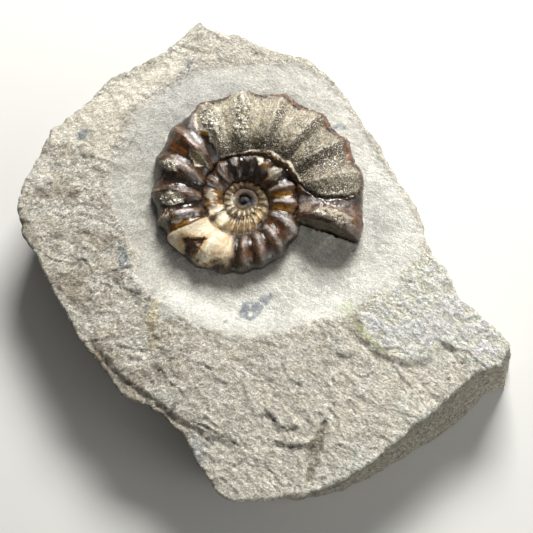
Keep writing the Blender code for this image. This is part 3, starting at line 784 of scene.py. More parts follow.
def buildSlab():
    draw = np.random.default_rng(slab["seed"])
    rays, radius = slabRim()
    rimX, rimY = ringPlan(rays, radius)
    corners, rim = np.array(slab["rim"]), len(rays)
    low, high = corners.min(axis=0), corners.max(axis=0)
    face, faces, faceTint, faceRough = slabFace(rimX, rimY, low, high, draw)
    points, tints, starts = [face], [faceTint], [0]
    rings = slabSides(rays, radius, rimX, rimY, face[:rim, 2])
    for number, (out, level, light) in enumerate(rings):
        starts.append(len(face) + number * rim)
        points.append(np.stack([*ringPlan(rays, out), level], axis=1))
        # painted light: the side is lighter towards the right-hand corner, over random unevenness
        uneven = 0.14 * lumps(rimX, rimY + 5 * (number + 2), 4.0, 91.0) + 0.22 * smoothStep(rimX, 38, 50)
        tints.append(np.tile(slab["sideTone"], (rim, 1)) * (light + uneven)[:, None])
    for upper, lower in zip(starts, starts[1:]):
        for i in range(rim):
            j = (i + 1) % rim
            faces.append((upper + i, lower + i, lower + j, upper + j))

    # the underside is filled within the last ring
    baseX, baseY = points[-1][:, 0], points[-1][:, 1]
    x, y = hexagonalPoints(low, high, slab["undersideSpacing"], 0.25, draw)
    keep = depthInside(x, y, list(zip(baseX.tolist(), baseY.tolist()))[::3]) > 0.8
    x, y = x[keep], y[keep]
    faces += [tuple(starts[-1] + i for i in reversed(face)) for face in filledOutline(baseX, baseY, x, y)]
    points.append(np.stack([x, y, 0.35 * np.clip(lumps(x, y, 6.0, 97.0, 4) + 0.15, 0, 1)], axis=1))
    tints.append(np.tile(slab["roughTone"], (len(x), 1)) * (0.95 + 0.10 * lumps(x, y, 5.0, 99.0))[:, None])
    broken = len(rings) * rim
    masks = {
        "rough": np.concatenate([faceRough, np.ones(broken + len(x))]),
        "side": np.repeat([0.0, 1.0, slab["undersideShare"]], [len(faceRough), broken, len(x)]),
    }
    tint = np.clip(np.concatenate(tints), 0, 1)
    piece = pieceFrom("limestone_slab", np.concatenate(points), faces, masks, tint, limestone())
    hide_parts("matrix")
    print("slab:", len(piece.data.vertices), "points,", sum(len(f) - 2 for f in faces), "triangles")


def limestone():
    material, tree, shader = freshMaterial("limestone")
    rough, side = mask(tree, "rough"), mask(tree, "side")
    places = millimetres(tree)
    toRight = step(tree, add(tree, "SeparateXYZ", {0: places}).outputs["X"], -26.0, 4.0)
    # the bedding's grain runs one way on the left of the slab and another on the right
    crossed, combed = millimetres(tree, (1.6, 1.0, 1.0), 24), millimetres(tree, (2.3, 1.0, 1.0), -31)
    streak = mixedValue(tree, toRight, grain(tree, crossed, 0.42, detail=4.0, rough=0.72, twist=0.5),
                        grain(tree, combed, 0.37, detail=4.0, rough=0.72, twist=0.5))
    wobble = add(tree, "TexNoise", {"Vector": places, "Scale": 1.1, "Detail": 3.0}).outputs["Color"]
    facets = []
    for spots in (crossed, combed):
        inputs = {0: wobble, 1: (0.9, 0.9, 0.9), 2: spots}
        bent = add(tree, "VectorMath", inputs, operation="MULTIPLY_ADD").outputs[0]
        cell = add(tree, "TexVoronoi", {"Vector": bent, "Scale": 1 / 0.46}).outputs["Color"]
        facets.append(add(tree, "SeparateColor", {0: cell}).outputs[0])
    facet = mixedValue(tree, toRight, *facets)
    crease = fromHalf(tree, grain(tree, crossed, 0.58, rough=0.7))
    mottle = grain(tree, places, 2.6, detail=4.0)
    speck = grain(tree, places, 0.24, detail=2.0, rough=0.75)
    # painted light and shade of the fine broken relief: lighter and darker streaks and facets, with thin
    # dark creases
    broken = product(tree, contrast(tree, streak, 0.41, 0.60, 0.68, 1.20),
                     contrast(tree, crease, 0.0, 0.045, 0.64, 1.06), between(tree, facet, 0.84, 1.15))
    # thin light and dark strokes along the grain, painted highlights and shade on the edges of its flakes
    for size, near, lightness in ((0.50, 0.030, 1.28), (0.66, 0.022, 0.60)):
        strokes = []
        for stretch, turn in ((3, 28), (4, -33)):
            spots = grain(tree, millimetres(tree, (stretch, 1.0, 1.0), turn), size, detail=2.5, rough=0.6)
            strokes.append(step(tree, fromHalf(tree, spots), near, near * 0.3))
        broken = product(tree, broken, between(tree, mixedValue(tree, toRight, *strokes), 1.0, lightness))
    # the prepared ground shows less of it, and the sides are pitted
    shade = product(tree, mixedValue(tree, between(tree, rough, 0.36, 1.0), 1.0, broken),
                    between(tree, mottle, 0.84, 1.12), contrast(tree, speck, 0.34, 0.66, 0.80, 1.17))
    upright = grain(tree, millimetres(tree, (1.0, 1.0, 1.7)), 0.62, detail=5.0, rough=0.8, twist=0.8)
    pitted = contrast(tree, upright, 0.38, 0.62, 0.48, 1.42)
    pitted = product(tree, maths(tree, "POWER", broken, 0.6), pitted)
    colour = shadedTint(tree, mixedValue(tree, side, shade, pitted))
    dust = product(tree, step(tree, mottle, 0.52, 0.72), between(tree, rough, 0.08, 0.30))
    colour = blend(tree, dust, colour, (*slab["dustTone"], 1))
    darkGrain = product(tree, step(tree, speck, 0.66, 0.80), between(tree, side, 0.35, 0.75))
    colour = blend(tree, darkGrain, colour, (*slab["grainTone"], 1))
    tree.links.new(colour, shader.inputs["Base Color"])
    tree.links.new(between(tree, speck, 0.86, 0.98), shader.inputs["Roughness"])
    shader.inputs["Specular IOR Level"].default_value = slab["specular"]
    # each height with its depth, and its strength on the prepared ground
    heights = ((streak, 0.84, 0.30), (crease, 0.70, 0.25), (facet, 0.16, 0.20), (speck, 0.26, 0.65))
    bumps(tree, shader, [(height, depth, between(tree, rough, low, 1.0)) for height, depth, low in heights])
    return material


# Ammonite: shell, inside mould, calcite and crystal crusts

ammonite = {
    "steps": 560, "flankRows": (64, 32, 16, 8), "venterRows": 20, "underRows": (8, 4, 4, 4),
    "mouthSpacing": 0.36, "mouthSeed": 3, "mouthMatt": 0.45, "pitLevel": -1.3, "waver": 0.17,
    "refraction": 1.58,
    "mouldDepth": 0.42, "holeDepth": 0.55, "pitDepth": 0.75, "chipDepth": 0.5, "wornDepth": 0.16,
    # each patch is an outline of (direction, radius) spots round the coil
    "mould": [
        (3, 23.8), (7, 24.5), (15, 24.2), (23, 23.7), (30, 23.8), (38, 23.2), (47, 23.7), (54, 23.7),
        (60, 22.6), (67, 22.9), (75, 23.2), (84, 22.8), (91, 25.2), (98, 23), (104, 21.8), (110, 22),
        (117, 22), (121, 19.9), (123, 17.7), (118, 16.1), (120, 14), (118, 12.3), (118, 10.8), (107, 10.4),
        (94, 10.6), (83, 11), (67, 11.9), (58, 12.3), (49, 12.3), (43, 12.8), (35, 12.8), (29, 12.5),
        (22, 12.3), (12, 12.7), (7, 13.5), (1, 15.2), (-1, 17.2), (0, 20.2), (1, 22.6),
    ],
    "bandOuter": [  # the thin flake band over the seam
        (17, 12.6), (22, 12.6), (28, 12.7), (34, 12.8), (40, 12.8), (46, 12.3), (53, 12.3), (60, 12.3),
        (67, 12), (72, 11.6), (81, 11.2), (92, 10.7), (106, 10.7), (119, 11),
    ],
    "bandInner": [
        (118, 10.1), (106, 9.9), (89, 9.7), (76, 9.9), (67, 10.3), (54, 10.1), (46, 10.4), (38, 10.6),
        (31, 10.9), (22, 11.3), (16, 12),
    ],
    "bandLevels": [(16, 24.6), (30, 24.6), (60, 24.1), (90, 23.4), (119, 22.8)], "bandInnerDrop": 0.8,
    "crack": [(19, 12), (12, 12.6), (7, 13.4), (1, 15.1), (-1, 17.1), (0, 20), (1, 22.5), (4, 23.9)],
    "crackWidth": 0.30, "crackDepth": 1.1,
    "hole": [(137, 15.4), (135, 13.7), (134, 12.8), (133, 10.8), (135, 10.4), (142, 11.3), (145, 12.4),
             (142, 13.5), (141, 14.5)],
    "pit": [(214, 15.4), (215, 14.3), (219, 13.6), (226, 11.8), (229, 11.6), (228, 12.6), (229, 13.2),
            (230, 14.7), (230, 15.6), (226, 16.2), (220, 16), (216, 15.8)],
    "chips": [(230, 16.3), (233, 15), (237, 15.6), (242, 14.8), (246, 14), (253, 13.7), (258, 12.5),
              (260, 14.3), (258, 17), (246, 17.4), (238, 17.6), (230, 17.8)],
    "crusts": [  # rows of calcite grains on the ribs
        [(117, 20.6), (113, 21), (110, 19.6), (109, 17.6), (109, 16.4), (111, 14.6), (114, 14.6),
         (117, 16.7), (118, 18.2), (118, 19.2)],
        [(96, 22.4), (92, 23.3), (87, 22.6), (86, 20.1), (87, 18.2), (88, 16.2), (94, 16.2), (96, 18.8)],
        [(97, 16), (91, 16.1), (85.5, 15.2), (87, 13.2), (93, 12.7), (99, 14.2)],
        [(156, 18.9), (153, 17.8), (152, 16.5), (154, 15.2), (158, 15.1), (159, 16.4), (158, 18.1)],
        [(-15, 15.1), (-10, 16.1), (-9, 17.2), (-10, 19.5), (-11, 21.5), (-12, 22.5), (-14, 22),
         (-16, 21.9), (-18, 20.2), (-16, 19), (-16, 17.6), (-16, 16.1)],
    ],
    "oval": [(178, 17.7), (177, 16.7), (175, 15.2), (177, 13.7), (179, 12.2), (183, 12.9), (185, 14.2),
             (185, 15.7), (182, 17.1)],
    "calcite": [
        (204, 18.4), (206.5, 14.5), (208, 11.4), (206, 9.7), (204, 8.2), (219, 7.6), (235, 7.2), (246, 7.2),
        (249, 8.7), (245, 10.5), (232, 10.9), (226, 11.7), (222, 13), (217, 13.9), (213, 14.9), (213, 15.4),
        (220, 16), (224, 18.4), (212, 18.6),
    ],
    "calciteTip": [
        (226, 11.4), (229, 10.2), (243, 9.6), (249, 8.2), (256, 9.4), (258, 12.1), (255, 14.2), (247, 14.4),
        (244, 15.2), (242, 16), (237, 17.3), (231, 17.2), (230, 14.6), (229, 13.2),
    ],
    "mottled": [(229, 13.5), (240, 12.6), (252, 12), (258, 12), (258, 14.5), (246, 16), (236, 17.4),
                (230, 17.4)],
    "lilacsAndSheens": [  # pale bluish rib crests, partly the shell's pale bloom and partly painted reflection of the light, each with how much of it shows
        ([(134, 19), (129, 19.1), (125, 18), (124, 16.7), (125, 14.8), (128, 12.9), (129, 12), (131, 12.5),
          (131, 13.9), (133, 15.5), (134, 16.9)], 0.32),
        ([(119, 22.2), (118, 21.6), (123, 18.2), (127, 18.3), (127, 19.5), (124, 20.6)], 0.55),
        ([(148, 17.8), (146, 16.6), (147, 14.9), (150, 13.3), (151, 11.9), (154, 10.2), (155, 9.5),
          (158, 10.1), (158, 11.7), (157, 13.6), (155, 15.2), (151, 16.7)], 0.5),
        ([(169, 14), (170, 11.9), (170, 9.4), (174, 9.1), (178, 10.6), (177, 11.8), (175, 13)], 0.15),
        ([(334, 6.6), (339, 6.8), (337, 9), (333, 12.6), (327, 12.6), (329, 9.5), (331, 7.6)], 0.95),
        ([(305, 7.4), (311, 6.8), (313, 9), (311, 12.2), (307, 12.4), (306, 9.6)], 0.6),
        ([(357, 6.4), (362, 6.2), (363, 9), (361, 10.8), (357, 10.6), (356, 8.6)], 0.75),
        ([(378, 6.2), (384, 6), (384, 9), (381, 10.6), (377, 10.4), (377, 8)], 0.6),
        ([(286, 7.8), (293, 7.6), (294, 9.6), (292, 11.8), (287, 12), (287, 9.8)], 0.28),
        ([(268.5, 8), (274, 8), (274, 9.6), (270, 9.8)], 0.35),
        ([(250, 7.9), (257, 7.9), (256, 8.9), (251, 8.9)], 0.5),
        ([(5, 11.9), (0, 13.5), (-3, 14.5), (-13, 14.6), (-15, 12.6), (-6, 11.7)], 0.45),
        ([(191, 14.3), (192, 11.8), (194, 10.9), (200, 11.4), (199, 13.1), (197, 14.3)], 0.95),
        ([(195, 10.8), (195, 9.9), (200, 9.8), (200, 10.8)], 0.8),
        ([(1, 13.5), (-1, 14.7), (-3, 16.2), (-6, 16.2), (-7, 14.6), (-4, 13.9)], 0.75),
        ([(-3, 16.4), (-3, 20.1), (-1, 22.9), (-10, 23), (-9, 20.3), (-8, 17.3)], 0.30),
        ([(214, 15.4), (216, 14.5), (219, 14.2), (220, 15.2), (219, 15.8)], 0.5),
        ([(486, 9.6), (484, 8.6), (483, 6.8), (487, 5.8), (490, 6.6), (490, 8.4)], 0.75),
        ([(510, 8.9), (508, 7.8), (509, 5.6), (513, 5.2), (514, 7), (514, 8.6)], 0.75),
        ([(468, 9.4), (462, 9.5), (456, 9.2), (459, 8.2), (463, 7.6), (467, 8.2)], 0.65),
        ([(450, 9.6), (444, 9.7), (440, 9.3), (445, 8.7), (449, 8.9)], 0.65),
    ],
    "pinkSpeckle": [(186, 17.6), (190, 14.3), (198, 14.3), (199, 16.2), (197, 17.6)],
    "darkValleys": [
        [(158, 19), (160, 16.9), (162, 14.9), (161, 12.4), (158, 9.9), (159, 9), (167, 9), (169, 11),
         (169, 13.5), (167, 16.2), (165, 18.3)],
        [(186, 16.3), (184, 13.7), (181, 11.6), (178, 9), (187, 8.6), (190, 10.9), (189, 13.8), (189, 16)],
        [(175, 17.4), (172, 16), (172, 14.1), (176, 13.7), (177, 15.2), (178, 16.7)],
        [(121, 15.2), (120, 14), (119, 12.1), (123, 11.6), (126, 12.5), (125, 14.3)],
        [(402, 10.6), (397, 11.2), (388, 11.3), (383, 10.9), (386, 9.4), (393, 9.1)],
        [(474, 10), (463, 10), (447, 9.6), (434, 9.5), (426, 8.4), (414, 6.6), (434, 4.9), (465, 4.8),
         (481, 6.1)],
    ],
    "ambers": [
        [(386, 5.7), (374, 7.9), (372, 10.4), (364, 10.2), (365, 7.7), (373, 5.5)],
        [(356, 6), (352, 8.1), (354, 10.6), (347, 10.9), (344, 8.8), (346, 6.4)],
        [(522, 7.9), (516, 6.4), (514, 4.9), (525, 5), (527, 6.6)],
        [(540, 8), (538, 6.3), (532, 4.6), (545, 4.4), (550, 6.3), (546, 7.8)],
        [(426, 8.9), (421, 9.1), (413, 8.6), (415, 7.9)],
        [(199, 17.2), (200, 15.2), (201, 12.8), (202, 10.7), (204, 9.8), (205, 12.3), (204, 14.9),
         (202, 17.1)],
        [(123, 17.5), (120, 16.7), (118, 15.8), (119, 15.4), (122, 16), (124, 16.8)],
        [(-12.5, 21.6), (-12, 23.1), (-15, 23.6), (-16, 22.4)],
        [(-6, 12.2), (-4, 13.2), (-6, 14.2), (-10, 14.6), (-12, 13.2), (-10, 12)],
        [(-4, 16.2), (-5, 18.5), (-7, 19.5), (-8.5, 19), (-8, 16.6)],
    ],
    "rusts": [
        [(326, 5.8), (323, 9), (324, 11.5), (325, 12.9), (318, 12.4), (316, 9.9), (316, 7)],
        [(271, 10.6), (276, 10.8), (283, 12.8), (287, 13.9), (281, 13.8), (274, 12.4)],
        [(136, 21.5), (142, 20.6), (146, 18.2), (144, 15.6), (138, 15), (135, 16.4), (135, 18.5)],
        [(-4, 22.6), (-3, 25.4), (-12, 25.2), (-19, 25), (-19, 22.8), (-12, 21.6), (-8, 20.4)],
    ],
    "rustLines": [  # path and width
        ([(135, 20.1), (134.5, 17.5), (136, 15.7)], 0.35), ([(135, 15.4), (133, 14.4), (132, 13.1)], 0.28),
        ([(134, 12.9), (133, 11.9), (132, 10.9)], 0.28), ([(169, 15.1), (174, 13.3), (180, 11.8)], 0.3),
        ([(39, 23.7), (37, 24.2), (36, 24.3), (32, 24.1)], 0.4),
        ([(426, 8.9), (420, 8.8), (413, 8.4)], 0.35),
    ],
    "creams": [
        [(531, 8.2), (527, 7.5), (525, 6), (534, 5.7), (537, 7.1)],
        [(551, 7.7), (550, 6.3), (548, 4.6), (557, 4.4), (564, 5.9), (562, 7.6)],
        [(575, 7.3), (569, 5.9), (569, 4.5), (583, 4.5), (600, 5.3), (603, 6.8), (590, 7.1)],
        [(433, 9.6), (428, 10.3), (421, 9.1), (426, 8.6)],
    ],
    "greyFacet": [(415, 8.5), (409, 9.6), (401, 10.3), (394, 9.5), (392, 8), (399, 7.1)],
    "paleRibs": [(585, 4.6), (620, 4.4), (690, 4), (700, 5), (655, 6.2), (620, 7), (590, 7)],
    "ringCream": [(547, 4.4), (205, 3.9), (240, 3.6), (278, 3.5), (311, 3.5), (343, 3.6), (358, 2.4),
                  (310, 2), (259, 1.8), (216, 2.2), (182, 2.9)],
    "middleBrown": [(152, 4.1), (120, 4.2), (90, 4.1), (62, 3.9), (40, 3.4), (60, 2.2), (90, 2), (120, 2.2),
                    (145, 2.9)],
    # painted shade over the upper right of the middle
    "middleShade": [(82, 3), (50, 3.3), (22, 3), (4, 2.4), (20, 1.7), (60, 1.8), (85, 2.2)],
    # painted shadow along the lower outer edge of the coil
    "lowShadow": [(262, 13.6), (280, 13), (300, 12.5), (316, 12.2), (318, 14.4), (290, 15.2), (262, 16.4)],
    "crescent": [(140, 3.3), (150, 2.2), (180, 1.8), (200, 2), (205, 2.6), (175, 3)],
    "blueSpot": [(345, 1), (15, 0.9), (42, 1.6), (25, 2.4), (350, 2.2)],
    "paleLines": [
        ([(118, 21.8), (121, 20), (124, 18)], 0.22), ([(137, 15.2), (134, 13), (135, 10.6)], 0.22),
        ([(198, 16), (199, 14.9), (200, 13.5)], 0.3), ([(142, 13.4), (145, 12.3), (141, 11.2)], 0.2),
        ([(178, 14.4), (182, 13), (184, 12.4)], 0.2),
    ],
    "darkSpeckles": [
        [(28, 16.5), (29, 17.8), (29, 19.5), (30, 22.3), (28, 23.5), (23, 23.1), (18, 22.5), (17, 20.2),
         (21, 18.3), (23, 16.7)],
        [(21, 12.8), (12, 14.6), (7, 18.2), (7, 22.4), (4, 22.8), (2, 20.1), (1, 16.4), (6, 14),
         (14, 12.8)],
    ],
    "tones": {
        "valley": tone(42, 27, 16), "rib": tone(92, 67, 46), "lilac": tone(158, 151, 147),
        "mould": tone(188, 179, 155), "mouldShade": tone(76, 62, 38), "hole": tone(120, 112, 84),
        "calcite": tone(222, 212, 186), "calciteWarm": tone(186, 152, 102), "cream": tone(228, 216, 186),
        "amber": tone(102, 70, 22), "rust": tone(84, 50, 22), "dark": tone(30, 24, 20),
        "crust": tone(204, 198, 182), "facet": tone(132, 123, 106), "pale": tone(222, 210, 190),
        "rim": tone(98, 60, 36), "band": tone(54, 38, 20), "bandEdge": tone(224, 211, 190),
        "mouth": tone(88, 80, 66), "ring": tone(108, 89, 58), "gold": tone(140, 116, 78),
        "hollow": tone(28, 24, 18), "spot": tone(54, 63, 70), "pit": tone(92, 67, 45),
        "dull": tone(50, 48, 39), "mouldPit": tone(58, 47, 27), "olive": tone(112, 104, 74),
        "glint": tone(246, 242, 228), "crustLight": tone(240, 236, 224), "crustShade": tone(84, 76, 58),
    },
}


def flankColumns():
    # vertex tables of the coil: for each column, the numbers of its vertices from the seam outwards
    steps, whorls = ammonite["steps"], coil["whorls"]
    count = steps * whorls + 1
    angles = coil["mouth"] + 360.0 / steps * np.arange(count)
    inner = turnOf(angles, seamRadius(angles))
    ownShoulder = turnOf(angles, venterRadius(angles) / coil["venterOverSeam"])
    coveredTo = turnOf(angles, seamRadius(angles - 360))
    places, total = [], 0

    def addVertices(angle, turns, pulls):
        nonlocal total
        places.append(np.stack([np.full(len(turns), angle), turns, pulls], axis=1))
        total += len(turns)
        return list(range(total - len(turns), total))

    above, below, edge = [], [], []
    for i, angle in enumerate(angles):
        whorl = min(i // steps, whorls - 1)
        # the first column of a whorl keeps the rows of the one before
        entry = i % steps == 0 and 0 < i < count - 1
        covered = i >= steps
        outer = coveredTo[i] if covered else ownShoulder[i]
        for side, grid, rowSet in ((1, above, "flankRows"), (-1, below, "underRows")):
            rows = ammonite[rowSet][whorl - 1 if entry else whorl]
            share = np.arange(rows + 1) / rows
            turns, pulls = inner[i] + (outer - inner[i]) * share, (1 - share) ** 3
            last = rows if covered else rows + 1
            column = addVertices(angle, side * turns[:last], pulls[:last])
            if covered:
                column.append(grid[i - steps][0])
            grid.append(column)
        if i <= steps:
            start = ownShoulder[i]
            turns = np.linspace(start, -start, ammonite["venterRows"] + 1)[1:-1]
            ring = addVertices(angle, turns, np.zeros(len(turns)))
            edge.append([above[i][-1], *ring, below[i][-1]])
    return np.concatenate(places), above, below, edge


def stitched(left, right):
    # faces between two columns, the right one with as many rows or with half as many
    skip = (len(left) - 1) // (len(right) - 1)
    return [(*left[skip * j:skip * (j + 1) + 1], right[j + 1], right[j]) for j in range(len(right) - 1)]


def bandLift(x, y, level, top):
    # the flake band is a thin plate that bridges the seam
    angle = coilPlace(x, y)[0]
    outline = onPlan(ammonite["bandOuter"]) + onPlan(ammonite["bandInner"])
    depth = depthInside(x, y, outline)
    toInner = pathDistance(x, y, onPlan(ammonite["bandInner"]))[0]
    toOuter = pathDistance(x, y, onPlan(ammonite["bandOuter"]))[0]
    share = toInner / (toInner + toOuter + 1e-6)
    plate = along(ammonite["bandLevels"], angle) - ammonite["bandInnerDrop"] * (1 - share) ** 2
    plate = plate + 0.10 * np.sin(math.pi * np.clip(share, 0, 1))
    cover = smoothStep(depth, -0.12, 0.12) * top
    return level + cover * (plate - level), cover, share


# In the next functions s holds arrays over all the shell's points, which shellSpots fills

def shellPatch(s, outline, soft):
    return patch(s.raggedX, s.raggedY, onPlan(outline), soft) * s.top


def shellArea(s, key, soft=0.22):
    # the same for one outline or several
    outlines = ammonite[key] if isinstance(ammonite[key][0], list) else [ammonite[key]]
    return np.maximum.reduce([shellPatch(s, outline, soft) for outline in outlines])


def shellLine(s, path, width):
    return line((s.raggedX + s.x) / 2, (s.raggedY + s.y) / 2, onPlan(path), width) * s.top


def shellSpots(places):
    # where each point lies, and how far it belongs to each patch
    s = SimpleNamespace()
    s.angle, s.turn, s.pull = places.T
    s.top = smoothStep(s.turn, 4.0, 14.0)
    s.across = np.clip(1 - np.abs(s.turn) / turnOf(s.angle, seamRadius(s.angle)), 0, 1)
    s.flat = coilSurface(s.angle, s.turn, s.pull, np.zeros(len(s.angle)))
    s.x, s.y = s.flat[:, 0], s.flat[:, 1]
    s.raggedX = s.x + 0.22 * lumps(s.x, s.y, 0.9, 3.0)
    s.raggedY = s.y + 0.22 * lumps(s.x, s.y, 0.9, 5.0)
    s.fromMiddle = np.hypot(s.x - coil["centre"][0], s.y - coil["centre"][1] - coil["innerShift"])
    s.thick = whorlSection(s.angle)[2]
    s.outerWhorl = (s.angle <= coil["mouth"] + 360).astype(float)
    s.ringWhorl = (s.angle >= coil["mouth"] + 690).astype(float)
    s.mould = shellArea(s, "mould", 0.16) * s.outerWhorl
    s.crack = shellLine(s, ammonite["crack"], ammonite["crackWidth"])
    s.hole, s.pit, s.chips = shellArea(s, "hole"), shellArea(s, "pit"), shellArea(s, "chips", 0.35)
    s.crust, s.oval = shellArea(s, "crusts", 0.35), shellArea(s, "oval")
    s.creams = shellArea(s, "creams", 0.4)
    s.calcite = np.maximum(shellArea(s, "calcite", 0.25), shellArea(s, "calciteTip", 0.7))
    s.swell = ribSwell(s.angle, s.across, s.mould)
    s.deep = 1 - smoothStep(s.swell, 0.05, 0.45)
    s.wave, s.grit = solidLumps(s.flat, 2.6, 11.0), solidLumps(s.flat, 0.55, 13.0)
    s.fold = solidLumps(s.flat * (1.0, 1.0, 0.6), 1.1, 17.0)
    share = betweenRibs(s.angle, s.across)[0]
    s.fromCrest = np.minimum(share, 1 - share)
    # the steep side of the mould's folds and its seam are dark and pitted, partly dark speckle and partly
    # painted shade, and its crest lines are light
    fallSide = smoothStep(share, 0.68, 0.86) * (1 - 0.75 * smoothStep(share, 0.94, 1.0))
    fallSide *= (1 - 0.65 * smoothStep(-s.angle, -22, -14)) * (0.80 + 0.9 * s.wave)
    atSeam = 0.6 * smoothStep(-s.across, -0.35, -0.06) + 0.10 * smoothStep(-s.angle, -50, 0)
    s.speckle = np.clip(s.mould * (fallSide + atSeam), 0, 1)
    s.crestLine = s.mould * np.exp(-(s.fromCrest / 0.036) ** 2) * smoothStep(s.across, 0.2, 0.4)
    s.rim = s.outerWhorl * (1 - s.mould) * smoothStep(s.across, 0.6, 0.8)
    s.rim *= smoothStep(s.angle, 2, 8) * smoothStep(-s.angle, -124, -116)
    return s


def shellRelief(s):
    # ribs, breaks and crusts over the smooth coil, in mm
    relief = coil["ribRatio"] * s.thick * s.swell * (1 + 0.10 * s.wave)
    relief += 0.07 * s.wave * np.clip(s.thick / 6, 0.2, 1) + 0.03 * s.fold
    creases = (0.04 + 0.06 * (s.angle < 5)) * s.fold * np.clip(s.thick / 5, 0.2, 1)
    relief += creases * (1 - s.calcite) * s.top
    relief -= ammonite["mouldDepth"] * s.mould + ammonite["holeDepth"] * s.hole
    relief -= ammonite["pitDepth"] * s.pit * (0.8 + 0.6 * s.fold) + ammonite["crackDepth"] * s.crack
    relief -= ammonite["chipDepth"] * s.chips * (0.6 + 0.8 * np.abs(s.fold))
    relief += s.crust * (0.26 + 0.45 * s.grit) + s.oval * (-0.12 + 0.34 * s.grit)
    relief += 0.10 * s.crestLine * (0.5 + s.grit) + (0.08 + 0.16 * s.speckle) * s.mould * s.grit
    relief += 0.10 * s.chips * s.grit + s.rim * (0.22 * s.fold + 0.12 * s.grit)
    worn = (1 - s.calcite) * s.outerWhorl * smoothStep(s.angle, 195, 205) * smoothStep(-s.angle, -262, -250)
    return relief - ammonite["wornDepth"] * worn * s.top


def shellPoints(s):
    # the shell's surface, a little wavy, with the flake band laid over the seam
    points = coilSurface(s.angle, s.turn, s.pull, shellRelief(s))
    for axis, seed in enumerate((33.0, 37.0)):
        points[:, axis] += ammonite["waver"] * lumps(s.x, s.y, 1.5, seed)
    points[:, 2], s.band, s.bandShare = bandLift(*points.T, s.top)
    points[:, 2] += s.band * 0.06 * s.fold
    s.edgeShine = smoothStep(s.bandShare + 0.2 * s.fold, 0.50, 0.82)
    return points


def mouldTint(s):
    # pale between the folds, and dark on their steep side and along the seam, partly the mould's darker tint
    # and partly painted shade, and darker towards the mouth
    light = 0.54 + 0.30 * s.wave + 0.34 * s.grit - 0.44 * s.speckle
    light -= 0.5 * smoothStep(-s.across, -0.38, -0.04) + 0.50 * smoothStep(-s.angle, -70, -14)
    light += 0.45 * np.exp(-((s.angle - 10) / 6) ** 2)
    dark = np.tile(ammonite["tones"]["mouldShade"], (len(s.x), 1))
    return mixed(dark, ammonite["tones"]["mould"], np.clip(light, 0.02, 1))


